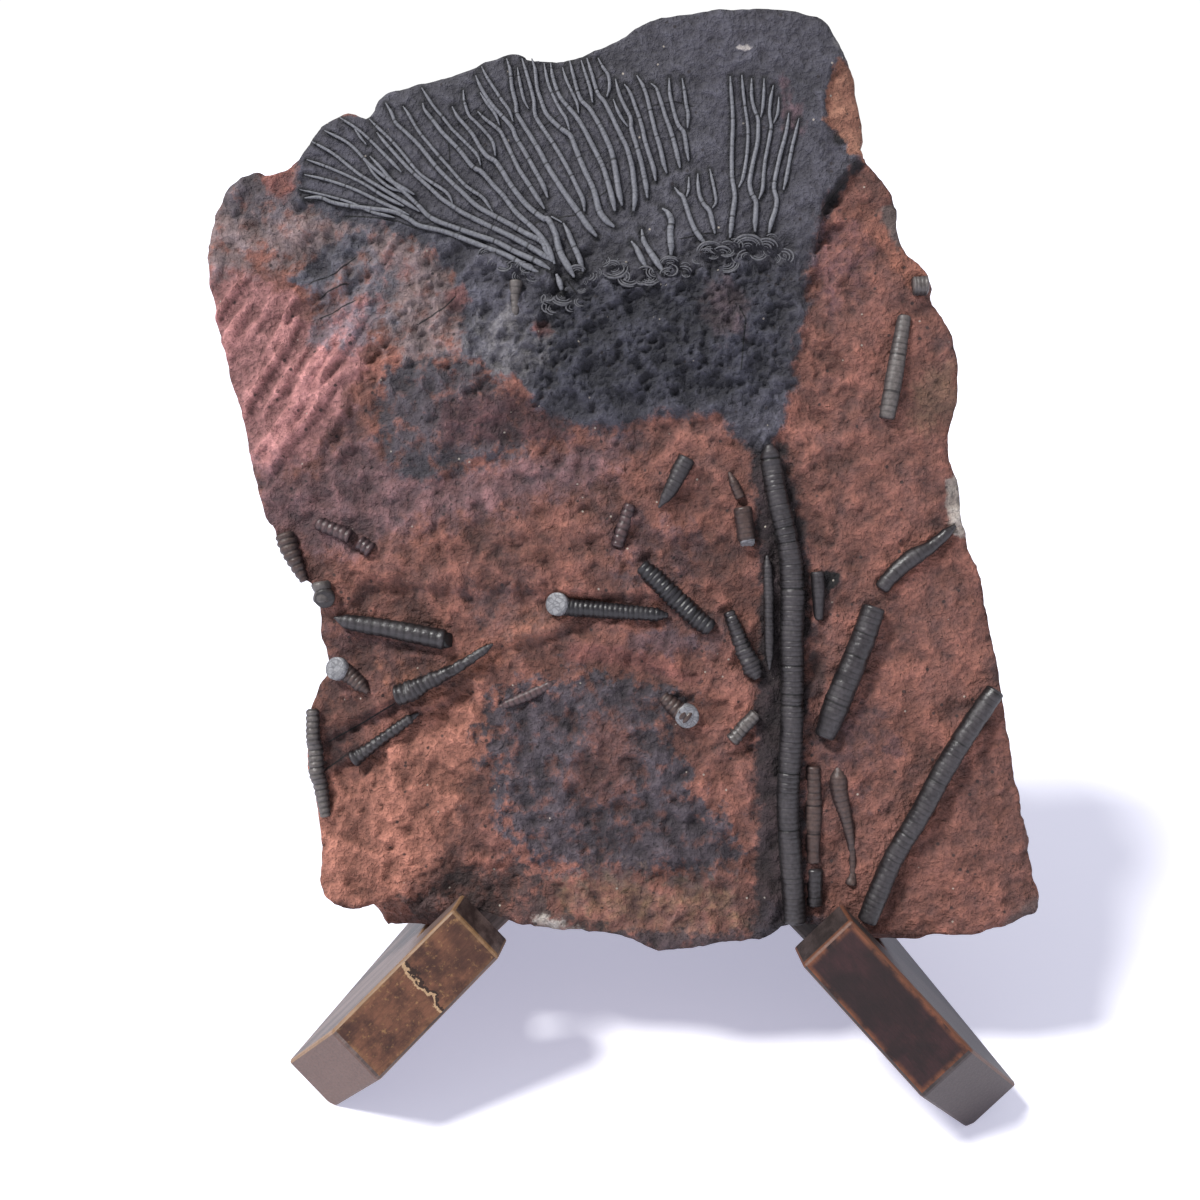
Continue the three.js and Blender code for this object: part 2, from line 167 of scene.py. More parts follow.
def slab_matrix() -> Matrix:
    """Finds where the slab leans.

    Returns:
        The turn and shift that takes slab coordinates in mm to the frame in metres.
    """
    toe = -Stand.lip_foot[1] * math.cos(LEAN) + Stand.lip_foot[0] * math.sin(LEAN) / math.sqrt(2)
    shift = Vector((
        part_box("rock_slab")[0].x / MM - min(corner[0] for corner in SLAB_OUTLINE),
        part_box("stand_board_left")[0].y / MM - toe,
        -Stand.foot_trim,
    ))
    right = Vector((1, 0, 0))
    up = Vector((0, math.sin(LEAN), math.cos(LEAN)))
    out = Vector((0, -math.cos(LEAN), math.sin(LEAN)))
    place = shift + RockSlab.foot * up - RockSlab.front * out
    turn = Matrix((
        (right.x, up.x, out.x, place.x),
        (right.y, up.y, out.y, place.y),
        (right.z, up.z, out.z, place.z),
        (0, 0, 0, 1),
    ))
    return Matrix.Scale(MM, 4) @ turn


def finish_piece(bm: bmesh.types.BMesh, name: str, materials: list[bpy.types.Material],
                 nodes: list[str], matrix: Matrix) -> bpy.types.Object:
    """Turns a bmesh into a finished piece on the root body.

    Args:
        bm: the shape; it is freed.
        name: the piece's name.
        materials: its materials in the order of its faces' indices.
        nodes: the frame's nodes that it stands for, if any.
        matrix: takes the shape's coordinates to the frame's metres.

    Returns:
        The new object, at the origin, with its place in its mesh.
    """
    bm.transform(matrix)
    bmesh.ops.recalc_face_normals(bm, faces=bm.faces)
    for face in bm.faces:
        face.smooth = True
    mesh = bpy.data.meshes.new(name)
    bm.to_mesh(mesh)
    bm.free()
    for material in materials:
        mesh.materials.append(material)
    piece = bpy.data.objects.new(name, mesh)
    bpy.context.scene.collection.objects.link(piece)
    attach(piece, ROOT_BODY)
    if nodes:
        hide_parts(*nodes)
    log.info("%s: %d faces", name, len(mesh.polygons))
    return piece


# ------------------------------------------------------------------ finishes

def linear(hex_colour: str) -> tuple[float, float, float, float]:
    """An sRGB colour such as "7a4a3e" as linear red, green, blue and alpha."""
    shares = [int(hex_colour[i:i + 2], 16) / 255 for i in (0, 2, 4)]
    return (*(s / 12.92 if s <= 0.04045 else ((s + 0.055) / 1.055) ** 2.4 for s in shares), 1.0)


# Node types and settings that the finishes use over and over.
ATTRIBUTE = "ShaderNodeAttribute"
BUMP = "ShaderNodeBump"
CELLS = "ShaderNodeTexVoronoi"
MAPPING = "ShaderNodeMapping"
MATH = "ShaderNodeMath"
MIX = "ShaderNodeMix"
NOISE = "ShaderNodeTexNoise"
RAMP = "ShaderNodeMapRange"
VECTOR = "ShaderNodeVectorMath"
RGBA = {"data_type": "RGBA"}
SMOOTH = {"interpolation_type": "SMOOTHSTEP"}
TIMES = {"operation": "MULTIPLY"}
TIMES_PLUS = {"operation": "MULTIPLY_ADD"}
SCALED = {"operation": "SCALE"}
BELOW, ABOVE = 6, 7        # the two colour inputs of a mix


def add(tree: bpy.types.NodeTree, kind: str, settings: dict, links: dict) -> bpy.types.Node:
    """Adds one node.

    Args:
        tree: the node tree.
        kind: the node's type.
        settings: its properties by name.
        links: its inputs by name or index, each a value or another node's output.

    Returns:
        The new node.
    """
    node = tree.nodes.new(kind)
    for name, value in settings.items():
        setattr(node, name, value)
    for name, value in links.items():
        if isinstance(value, bpy.types.NodeSocket):
            tree.links.new(value, node.inputs[name])
        else:
            node.inputs[name].default_value = value
    return node


def bare_material(name: str, roughness: float, ior: float) -> tuple:
    """A new material.

    Args:
        name: the material's name.
        roughness: the shader's roughness.
        ior: its index of refraction.

    Returns:
        The material, its node tree, its shader node, and its object coordinates in mm.
    """
    material = bpy.data.materials.new(name)
    material.use_nodes = True
    tree = material.node_tree
    shader = tree.nodes["Principled BSDF"]
    shader.inputs["Roughness"].default_value = roughness
    shader.inputs["IOR"].default_value = ior
    places = add(tree, "ShaderNodeTexCoord", {}, {})
    in_mm = add(tree, MAPPING, {},
                {"Vector": places.outputs["Object"], "Scale": (1 / MM,) * 3})
    return material, tree, shader, in_mm.outputs[0]


def stain(tree: bpy.types.NodeTree, below: tuple | bpy.types.NodeSocket,
          source: bpy.types.NodeSocket, low: float, high: float, shade: str,
          strength: float = 1.0) -> bpy.types.NodeSocket:
    """Lays a shade over a colour where a source goes from low to high.

    Args:
        tree: the material's node tree.
        below: the colour below.
        source: what decides where the shade lies.
        low: the source's value where the shade is absent.
        high: its value where the shade is at its full strength.
        shade: the shade.
        strength: how much of the colour below it hides.

    Returns:
        The stained colour.
    """
    mask = add(tree, RAMP, SMOOTH, {
        "Value": source, "From Min": low, "From Max": high, "To Max": strength})
    return add(tree, MIX, RGBA, {
        "Factor": mask.outputs[0], BELOW: below, ABOVE: linear(shade)}).outputs[2]


# ------------------------------------------------------------------ rock

# The slab's outline as (u, v), anticlockwise seen from behind.
SLAB_OUTLINE: Route = [
    (-103, 165), (-100, 171), (-94, 174.7), (-90, 173.7), (-83, 177.5), (-78, 185), (-72, 188.2),
    (-67.5, 186.5), (-64.3, 191.2), (-58, 193.4), (-51, 195.2), (-38, 200), (-32.6, 201),
    (-30, 199.6), (-22.5, 198.8), (-15.5, 201.2), (-5, 207), (3, 209), (11.5, 210.6), (30, 210.3),
    (36, 207.8), (40.2, 202), (43, 195), (44.8, 183), (44.6, 178.8), (50, 172.6), (53.2, 167),
    (54.3, 159), (60.5, 151.4), (60.5, 145.5), (64, 141.3), (66.5, 134), (67, 124), (65.8, 114.5),
    (67.6, 105), (74.8, 76), (78.3, 62), (82.2, 40), (86, 21), (88.6, 10.5), (87.6, 6.6),
    (79.6, 3.8), (70.7, 1.6), (55, 2), (38.9, 2.8), (32, 3.2), (25, -0.4), (9, -2.7), (2, -3.3),
    (-7, -0.2), (-25, 0.6), (-39, 3.6), (-58, 5.6), (-64, 6.6), (-68.5, 4.2), (-74.7, 6),
    (-77, 10), (-77.8, 25), (-80, 37), (-80, 51), (-75.6, 61), (-77.4, 68), (-78.7, 78),
    (-85.7, 85), (-88.5, 92.5), (-91.2, 96), (-95.7, 115), (-100.8, 134), (-104.2, 152),
]


@dataclass(frozen=True)
class Zone:
    """One stain, bed or weathered patch of the rock, coloured inside a drawn outline."""
    name: str
    colours: tuple[str, str]      # the two shades it wanders between
    outline: Route                # (u, v)
    feather: float = 1.5          # half width of its fading edge, mm
    wander: float = 3.0           # how far its edge strays, mm
    strength: float = 1.0
    mottle: float = 0.0           # share of the zone that lets the rock show through


ZONES = [
    Zone("folded_pink", ("ac7a78", "875b59"), [
        (-110, 155), (-97, 152), (-84, 147), (-80, 140), (-70, 146), (-62, 158), (-55, 152),
        (-66, 139), (-69, 128), (-74, 117), (-80, 108), (-90, 104), (-100, 112)], 2.0, 3.0, 0.95),
    Zone("mauve_band", ("715356", "5c4a4f"), [
        (-95, 108), (-80, 106), (-70, 118), (-60, 108), (-40, 106), (-20, 112), (-6, 112),
        (-14, 104), (-40, 96), (-62, 92), (-74, 86), (-92, 92)], 4.0, 5.0, 0.8),
    Zone("rusty_corner", ("a46e5e", "8a5a4c"), [
        (-84, 44), (-70, 34), (-62, 42), (-52, 50), (-40, 57), (-37, 50), (-41, 36), (-47, 24),
        (-52, 14), (-60, 7), (-80, 2), (-84, 10)], 3.0, 4.0, 0.95),
    Zone("rusty_step", ("9c6652", "815748"), [
        (-66, 66), (-48, 62), (-36, 68), (-30, 76), (-14, 77), (-24, 70), (-36, 62), (-52, 53),
        (-64, 56), (-76, 50), (-78, 60)], 2.5, 3.0, 0.7),
    Zone("grey_wash", ("706669", "7c6b69"), [
        (-110, 150), (-110, 176), (-88, 182), (-74, 172), (-58, 162), (-42, 153), (-30, 148),
        (-34, 136), (-46, 132), (-58, 128), (-62, 138), (-68, 146), (-78, 152), (-90, 154)],
        4.0, 6.0, 0.88, 0.1),
    Zone("grey_fold", ("545a66", "6d656a"), [
        (-84, 150), (-78, 144), (-80, 136), (-70, 134), (-62, 140), (-60, 150), (-66, 156),
        (-72, 158)], 2.0, 3.5, 0.75, 0.2),
    Zone("smooth_lens", ("484952", "504e56"), [
        (-84, 149), (-79, 148), (-75, 150), (-70, 155), (-66, 161), (-72, 160.5), (-79, 156)],
        0.7, 1.2, 0.9),
    Zone("corner_charcoal", ("504c53", "454149"), [
        (-106, 169), (-98, 165), (-88, 163.5), (-82, 166), (-84, 176), (-90, 178), (-104, 178)],
        2.0, 4.0, 0.75, 0.1),
    Zone("charcoal_lobe", ("3c3b43", "45434a"), [
        (-62, 129), (-52, 132), (-40, 131), (-34, 124), (-30, 112), (-44, 107), (-56, 104),
        (-63, 110), (-65, 120)], 2.0, 4.0, 0.9, 0.12),
    Zone("red_island", ("4d3132", "3c2b2f"), [
        (-50, 121), (-40, 125), (-28, 124), (-18, 118), (-20, 113), (-34, 113), (-50, 112)],
        1.5, 3.0, 0.9, 0.1),
    Zone("charcoal", ("4a4952", "3d3b43"), [
        (-84, 168), (-76, 163.5), (-66, 162), (-56, 159), (-48, 152), (-46, 141), (-44, 132),
        (-32, 127), (-27, 121), (-20, 117), (-10, 116.5), (0, 119.5), (14, 119.5), (19, 114),
        (22.5, 109), (26.5, 109), (28.5, 118), (31, 133), (33, 142), (33.5, 152), (36, 160),
        (36.8, 166), (41, 171), (45, 178), (47, 184), (42.5, 203), (45, 225), (-20, 225),
        (-60, 206), (-78, 196), (-84, 180)], 1.4, 2.4, 1.0),
    Zone("arm_bed", ("4a4950", "3a393f"), [
        (-78, 164), (-70, 178), (-66, 190), (-44, 206), (-12, 207), (8, 198), (12, 186),
        (9, 170), (14, 160), (10, 153), (-10, 150), (-24, 148), (-34, 153), (-48, 158.5),
        (-62, 161.5)], 4.0, 3.0, 0.75),
    Zone("arm_bed_right", ("414047", "323137"), [
        (12, 156), (14, 180), (18, 198), (34, 197), (36, 180), (31, 168), (30, 157)],
        3.0, 2.5, 0.65),
    # Painted shadow beside the stems and steps at the lower left.
    Zone("left_shade", ("4b3537", "3a2a2e"), [
        (-78, 66), (-72, 72), (-60, 68), (-50, 63), (-46, 58), (-56, 56), (-66, 55),
        (-76, 50)], 3.0, 5.0, 0.75, 0.15),
    # Painted shadows under the two ledges at the lower left.
    Zone("left_gully", ("3d2729", "2b1d1f"), [
        (-78, 43), (-68, 49.5), (-58, 54.5), (-56.5, 52.5), (-66, 46.5), (-77, 40)],
        1.4, 2.0, 0.8),
    Zone("left_gully_low", ("3d2729", "2b1d1f"), [
        (-79, 37), (-71, 42.5), (-66, 44), (-68, 41), (-77, 34)], 1.4, 2.0, 0.8),
    Zone("middle_shade", ("5d4648", "4c3a40"), [
        (-8, 97), (2, 96), (10, 92), (8, 84), (-2, 82), (-10, 88)], 3.0, 5.0, 0.7, 0.2),
    Zone("pale_fleck", ("a39c98", "8a8688"), [
        (16.2, 201.8), (17, 202.5), (17.8, 202.2), (18.6, 202.8), (19.2, 202), (20.2, 202.1),
        (19.4, 201.2), (18.2, 200.9), (17.4, 201.4)], 0.2, 0.4, 0.85),
    Zone("arm_blush", ("6d5055", "5a484e"), [
        (25.4, 196), (27.2, 196.5), (28, 189.5), (31, 189), (31, 182), (27.5, 184)],
        1.0, 2.0, 0.55),
    # Near-black painted shade in the clefts of the steps at the crown's right edge.
    Zone("cleft", ("171619", "1f1d20"), [
        (38.6, 184.2), (42, 184.6), (43.2, 183), (41, 180.6), (39, 181.2)], 0.6, 1.2, 0.95),
    Zone("cleft_low", ("1a181b", "252226"), [
        (35.6, 163.4), (36.8, 168.4), (40.4, 173.6), (43.6, 177.2), (45.4, 176.8),
        (42.8, 172.8), (39.4, 168.2), (37.6, 164.6)], 0.7, 1.2, 0.92),
    Zone("cup", ("262730", "34343d"), [
        (-26, 148), (-16, 151), (-6, 149), (4, 152), (14, 155), (24, 153), (29, 147), (28, 134),
        (26, 122), (20, 121), (4, 122), (-10, 119.5), (-20, 120), (-28, 126), (-33, 134)],
        5.0, 4.0, 0.85),
    Zone("ash_bloom", ("827f82", "6f6b69"), [
        (-44, 140), (-33, 143), (-26, 138), (-25, 130), (-33, 128), (-42, 131)],
        3.0, 4.0, 0.5, 0.3),
    Zone("blush", ("6b4440", "5c4142"), [
        (-49, 147.5), (-45, 148.5), (-43, 145), (-46, 142.5), (-49, 144)], 1.0, 1.5, 0.85),
    Zone("blush_low", ("70443f", "5c4142"), [
        (-28.8, 140), (-26, 140.5), (-24.5, 138), (-27, 136.8), (-29.2, 138)], 0.8, 1.0, 0.8),
    Zone("cup_blush", ("4f3d40", "453a3e"), [
        (11, 150), (16, 150), (20, 144), (19, 138), (14, 137), (10, 142)], 2.0, 3.0, 0.6),
    Zone("top_corner_rust", ("88604f", "7a5143"), [
        (36.8, 184.5), (36.2, 190), (37.5, 196), (40, 200.5), (42, 199), (46, 194), (50, 184),
        (48, 177), (41, 178.5), (42, 182)], 0.5, 1.2, 1.0),
    Zone("pale_corner", ("8d8a8c", "77757a"), [
        (37.5, 203.5), (40, 206), (47, 206), (44, 198), (40.5, 200.5)], 1.0, 1.5, 0.8, 0.2),
    Zone("right_dark", ("5e403e", "503944"), [
        (36, 162), (44, 166), (48, 158), (44, 150), (38, 144), (35, 150)], 3.0, 4.0, 0.6, 0.2),
    Zone("right_rust", ("95604f", "835649"), [
        (44, 168), (48, 167), (54, 160), (60, 152), (58, 147), (52, 154), (46, 161)],
        1.2, 2.0, 0.8),
    Zone("right_grey", ("58514f", "655855"), [
        (48.5, 166), (56, 168), (58, 156), (54.5, 157), (51.5, 160)], 0.8, 1.5, 0.9),
    Zone("right_olive", ("745d4b", "674f43"), [
        (58, 128), (66, 132), (70, 120), (58, 116)], 2.5, 3.0, 0.6),
    Zone("edge_mineral", ("aaa49d", "8d8078"), [
        (64.8, 106), (66, 98), (67, 93), (69, 93), (74, 98), (70, 108)], 0.6, 1.2, 0.85),
    # Near-black painted shade in the groove along the main stem.
    Zone("stem_groove", ("1c1a20", "262024"), [
        (21, 113), (21.5, 100), (23.5, 88), (23.8, 72), (23.2, 58), (22, 48), (23.2, 38),
        (23.6, 20), (23.5, -5), (37.2, -5), (36.2, 14), (34.6, 24), (35, 44), (35, 62),
        (35.6, 76), (34.4, 92), (32, 104), (29, 113)], 1.4, 2.2, 0.92),
    Zone("stain_middle", ("48434a", "342f36"), [
        (-40, 46), (-38, 53), (-28, 58), (-18, 61), (-6, 59), (4, 60), (8, 56), (3, 47),
        (8, 38), (10, 31), (19, 26), (20, 20), (14, 15), (6, 14), (-4, 15), (-12, 13),
        (-22, 14), (-30, 18), (-36, 26), (-37, 36)], 2.5, 7.0, 0.95, 0.1),
    Zone("stain_red_inside", ("66423a", "533735"), [
        (-14, 50), (-7, 50), (-4, 42), (-6, 33), (-15, 31), (-20, 36), (-15, 42)],
        2.0, 5.0, 0.85, 0.15),
    Zone("stain_by_stem", ("40373b", "31292d"), [
        (-12, 76), (4, 70), (14, 66), (18, 70), (8, 78), (2, 84), (-6, 82)], 3.0, 5.0, 0.6, 0.3),
    Zone("stain_upper", ("4a3e41", "3c3337"), [
        (-44, 79), (-20, 79), (-22, 70), (-32, 66), (-40, 70)], 2.5, 5.0, 0.6, 0.3),
    Zone("imprint_red", ("7e4f47", "714744"), [
        (-20, 63.5), (-10, 62.5), (2, 60), (9, 57.5), (10, 60), (2, 64), (-9, 66.5), (-20, 67)],
        1.0, 1.6, 0.85),
    Zone("glossy_scales", ("473c47", "56484f"), [
        (-6, 70), (6, 70.5), (11, 67), (9, 64.5), (0, 66), (-6, 67)], 1.5, 2.5, 0.6),
    Zone("right_smudge", ("4a373b", "3a2c30"), [
        (39, 46), (44, 52), (49, 60), (52, 52), (50, 38), (46, 30), (40, 34)], 3.0, 5.0, 0.7, 0.3),
    Zone("right_spot", ("47353a", "54393a"), [
        (53, 48), (56, 49), (57, 44), (55, 42), (52.5, 44)], 1.0, 2.0, 0.8),
    Zone("beside_hole", ("33292c", "43312f"), [
        (36, 84), (41, 86), (42, 83), (40, 77), (38, 72), (36.5, 66), (39.5, 60), (38, 56),
        (35.5, 56)], 1.5, 2.0, 0.85),
    # Near-black painted shade of a hole that the mesh does not have.
    Zone("hole", ("100e10", "161315"), [
        (37.8, 84.8), (41.9, 84.3), (41, 81.6), (38.7, 78.4)], 0.3, 0.5, 1.0),
    Zone("ochre_foot", ("796149", "644c48"), [
        (-24, 3), (-22, 12), (-12, 16), (0, 13), (10, 12), (18, 11), (22, 3), (14, -3),
        (-6, -3)], 2.5, 5.0, 0.7, 0.3),
    Zone("dark_foot_left", ("2b272a", "3f3130"), [
        (-58, 5), (-52, 9), (-40, 15), (-28, 15), (-24, 6), (-10, 2), (-8, -8), (-60, -8)],
        1.8, 5.0, 0.85, 0.2),
    Zone("dark_foot_right", ("302c33", "41363b"), [
        (-8, 1), (2, 2), (10, 0.5), (24, 1.5), (26, 8), (30, 6), (44, 4.5), (44, -8),
        (-8, -8)], 1.2, 3.0, 0.85, 0.1),
    Zone("foot_mineral", ("bdb7b0", "8f857c"), [
        (-28, 3.4), (-22, 3.6), (-16, 1.2), (-18, -1), (-27, 0)], 0.6, 1.5, 0.7, 0.2),
    Zone("corner_grey", ("6a5a56", "5c4e4d"), [
        (84, 9), (90, 12), (90, 3), (80, 3)], 1.5, 2.0, 0.7),
    Zone("top_left_rust", ("835044", "6e4745"), [
        (-94, 176), (-90, 175), (-86, 178.5), (-83.5, 176), (-84, 171), (-86.5, 167.5),
        (-90, 169.5)], 0.9, 1.6, 0.85),
    Zone("peak_rust", ("935e50", "7f544b"), [
        (-76.5, 186.4), (-72, 187.2), (-69, 186.6), (-70, 190), (-77, 190)], 0.6, 1.0, 0.7),
]

# Hairline cracks, and two painted shadow lines, each as (u, v).
CRACKS_AND_SHADOW_LINES: list[Route] = [
    [(-72, 164.3), (-65, 163.8), (-60, 163), (-56, 161.5), (-52, 162.9), (-50, 162.5),
     (-45, 160.5), (-40, 158), (-36, 156.2), (-30, 154.3), (-25, 151.5), (-21.5, 150.5),
     (-19, 147)],
    [(-30, 160), (-28.5, 163), (-25, 163.7), (-22, 164.3), (-17, 164.9)],
    [(-14.5, 168.5), (-12, 170.5)],
    [(-28, 184.2), (-25, 185.7), (-23.7, 186.8)],
    [(-48, 184), (-45, 185.8), (-41, 187.7)],
    [(-50, 172), (-48.2, 177), (-48.6, 181), (-48, 184)],
    [(-17, 193.3), (-13, 196.5)],
    [(-4, 188.5), (0, 189.5), (2.3, 190), (6.5, 189)],
    [(4.5, 159.3), (9, 160.5), (13.5, 160.7)],
    [(14, 158.7), (20, 160.3), (23.5, 158.8), (25, 159.4)],
    [(18, 144), (19.3, 141), (18.5, 130)],
    [(-80, 149), (-74, 151.5), (-70, 155)],
    [(-78, 146), (-72, 149)],
    [(-78, 141), (-70, 145)],
    [(-55, 140), (-50, 143), (-47, 146)],
    [(36, 165.6), (37.2, 167.6), (41, 172)],
    # These last two are painted shadow lines along the ledges at the lower left, not cracks.
    [(-60, 52.5), (-68, 47.5), (-75, 43.5)],
    [(-71, 40.5), (-77, 36)],
]


@dataclass(frozen=True)
class Ledge:
    """A step in the rock's face, higher on the left of its line."""
    line: Route
    height: float = 1.2
    reach: float = 7.0
    sharpness: float = 0.9


LEDGES = [
    Ledge([(-20, 95), (-26, 92), (-30, 88), (-36, 87), (-41, 90)], 1.0, 6.0, 0.5),
    Ledge([(-2, 78.5), (-14, 78), (-25, 79), (-38, 79.3), (-50, 79), (-60, 81)], -1.5, 8.0, 0.7),
    Ledge([(-80, 42), (-72, 46), (-63, 51), (-56, 55)], 1.7, 6.0, 0.6),
    Ledge([(-80, 33), (-72, 38), (-64, 43.5), (-54, 50.5), (-46, 54)], 1.6, 7.0, 0.5),
    Ledge([(-66, 50.5), (-55, 55), (-44, 61), (-36, 66), (-26, 69)], 1.6, 7.0, 0.6),
    Ledge([(-74, 116), (-71, 121), (-71, 127), (-67, 131)], 1.3, 6.0, 0.5),
    Ledge([(36, 163), (37, 168), (41, 173), (45, 178)], 2.4, 5.0, 0.6),
    Ledge([(40.5, 179), (37.5, 184), (36.3, 190), (38, 197), (41, 202)], 1.5, 4.0, 0.5),
    Ledge([(56, 149), (50, 156), (46, 163), (40, 166.5), (36.5, 165)], 1.0, 4.0, 0.6),
    Ledge([(26, 110), (28.5, 120), (31, 134), (33, 146), (35, 158)], 1.0, 6.0, 1.2),
    Ledge([(-27, 121.5), (-20, 117.5), (-8, 117), (2, 120), (14, 119.5), (21, 114)],
          1.5, 7.0, 1.2),
    Ledge([(-62, 106), (-54, 103.5), (-45, 106), (-38, 110)], 1.0, 5.0, 1.0),
    Ledge([(-52, 9), (-42, 14), (-30, 16.5)], 1.4, 8.0, 1.5),
    Ledge([(24, 112), (25, 90), (24.8, 60), (25.2, 30), (25, 2)], 0.6, 4.0, 1.0),
    Ledge([(37, 2), (36.5, 30), (36.5, 60), (37.4, 80), (33, 100)], 0.6, 4.0, 1.0),
    Ledge([(-84, 149), (-76, 146), (-68, 151)], 1.1, 4.0, 0.5),
    Ledge([(-86, 141), (-78, 139), (-68, 144)], 0.9, 4.0, 0.5),
    Ledge([(-100, 100), (-88, 98), (-78, 101), (-66, 99)], 0.8, 5.0, 0.8),
]

# Gentle swellings and hollows of the face: u, v, half widths along u and v, height.
SWELLINGS = [
    (-2, 134, 24, 11, 2.2), (-26, 138, 10, 8, 0.8), (14, 141, 7, 9, 0.9), (-12, 128, 7, 6, 0.7),
    (-52, 118, 9, 11, 0.9), (-58, 30, 16, 18, 1.6), (-14, 36, 24, 17, 1.5), (62, 40, 20, 30, 0.8),
    (-88, 120, 10, 16, 1.2), (50, 120, 12, 22, 0.9), (-45, 92, 22, 9, 0.9), (-70, 70, 12, 8, -0.7),
    (-20, 76, 12, 4, -0.9), (46, 20, 12, 16, -0.5), (42, 196, 5, 9, -0.8), (40, 178, 3, 4, -1.6),
]


def outline_of(name: str) -> Route:
    """The outline of the zone with a name."""
    return next(zone.outline for zone in ZONES if zone.name == name)


# The noises of the rock: size of the largest lumps in mm, octaves and seed.
GRAINS = {
    "swell": (55, 2, 3.1), "roll": (21, 2, 8.4), "scallop": (8.0, 2, 1.3),
    "small_scallop": (3.2, 2, 5.2), "lump": (17, 3, 9.7), "step": (6.5, 3, 31.0),
    "silt": (1.25, 2, 40.0), "cup_lump": (5.5, 3, 15.2), "cup_pit": (1.7, 3, 21.0),
    "rim_chip": (9, 3, 2.2), "small_rim_chip": (2.4, 2, 6.1), "arris_chip": (9, 2, 7.7),
    "back_lump": (30, 3, 12.1), "back_grit": (5, 3, 3.3), "side_lump": (7, 3, 1.1),
    "side_grit": (2.1, 2, 9.2),
}


@dataclass
class RockFace:
    """The lie of the slab's face, which the fossils follow."""
    folds: Route = field(default_factory=lambda: outline_of("folded_pink"))
    crown: Route = field(default_factory=lambda: outline_of("charcoal"))
    cup: Route = field(default_factory=lambda: outline_of("cup"))
    crown_smooth_v: float = 156.0      # above this the crown's bed is split clean
    plain_u: float = 38.0              # right of this the rock is plain, with fine bedding
    bed_along: tuple[float, float] = (0.87, 0.5)      # the way the fine bedding runs
    bed_size: tuple[float, float] = (2.6, 13.0)       # across it and along it, mm
    fold_along: tuple[float, float] = (0.56, 0.83)    # the way the pleats of the folds run
    fold_size: tuple[float, float] = (7.5, 34.0)      # across them and along them, mm

    def broad(self, points: np.ndarray) -> np.ndarray:
        """The lie of the face without its grain.

        Args:
            points: n by 2 array of (u, v).

        Returns:
            How far the face stands out at each point, mm.
        """
        rise = (0.8 * grain(points, *GRAINS["swell"]) + 0.35 * grain(points, *GRAINS["roll"]))
        for ledge in LEDGES:
            away, side = line_distance(points, ledge.line)
            rise += (0.5 * ledge.height * np.tanh(side / ledge.sharpness)
                     * np.exp(-(away / ledge.reach) ** 2))
        for u, v, half_u, half_v, height in SWELLINGS:
            rise += height * np.exp(-((points[:, 0] - u) / half_u) ** 2
                                    - ((points[:, 1] - v) / half_v) ** 2)
        return rise

    def full(self, points: np.ndarray) -> np.ndarray:
        """The lie of the face with its grain and its folds.

        Args:
            points: n by 2 array of (u, v).

        Returns:
            How far the face stands out at each point, mm.
        """
        noises = {name: grain(points, *GRAINS[name]) for name in (
            "scallop", "small_scallop", "lump", "step", "silt", "cup_lump", "cup_pit")}
        in_crown, in_folds, in_cup = (
            outline_distance(points, outline)[0]
            for outline in (self.crown, self.folds, self.cup))
        clean = (np.clip(in_crown / 4, 0, 1)
                 * np.clip((points[:, 1] - self.crown_smooth_v) / 6, 0, 1))
        folded = np.clip(in_folds / 5 + 0.4, 0, 1)
        plain = np.clip((points[:, 0] - self.plain_u) / 12, 0, 1)
        pitted = np.clip(in_cup / 4 + 0.8, 0, 1)
        rough = (1 - 0.8 * clean) * (1 - 0.75 * folded) * (1 - 0.45 * plain)
        scallops = (0.42 - 1.5 * np.abs(noises["scallop"])
                    - 1.0 * np.abs(noises["small_scallop"]))
        steps = 0.3 * np.tanh(12 * noises["step"])
        pits = 0.2 + 1.2 * noises["cup_lump"] - 0.9 * np.abs(noises["cup_pit"])
        bedding = self.streaks(points, self.bed_along, self.bed_size, (1, 3, 60.0))
        pleats = self.streaks(points, self.fold_along, self.fold_size, (1, 2, 4.4))
        return (self.broad(points) + 0.4 * plain * bedding
                + rough * (scallops + 0.6 * noises["lump"] + steps)
                + 0.2 * noises["silt"] + pitted * pits
                + folded * (4.0 * np.maximum(0, 0.42 - 1.7 * np.abs(pleats)) - 0.5))

    def streaks(self, points: np.ndarray, along: tuple[float, float],
                size: tuple[float, float], how: tuple[int, int, float]) -> np.ndarray:
        """Noise drawn out into streaks.

        Args:
            points: n by 2 array of (u, v).
            along: the way the streaks run, as a direction in (u, v).
            size: their size across and along, mm.
            how: the noise's size over those sizes, its octaves and its seed.

        Returns:
            One value for each point, mostly between -1 and 1.
        """
        across = (along[1] * points[:, 0] - along[0] * points[:, 1]) / size[0]
        run = (along[0] * points[:, 0] + along[1] * points[:, 1]) / size[1]
        return grain(np.column_stack([across, run]), *how)


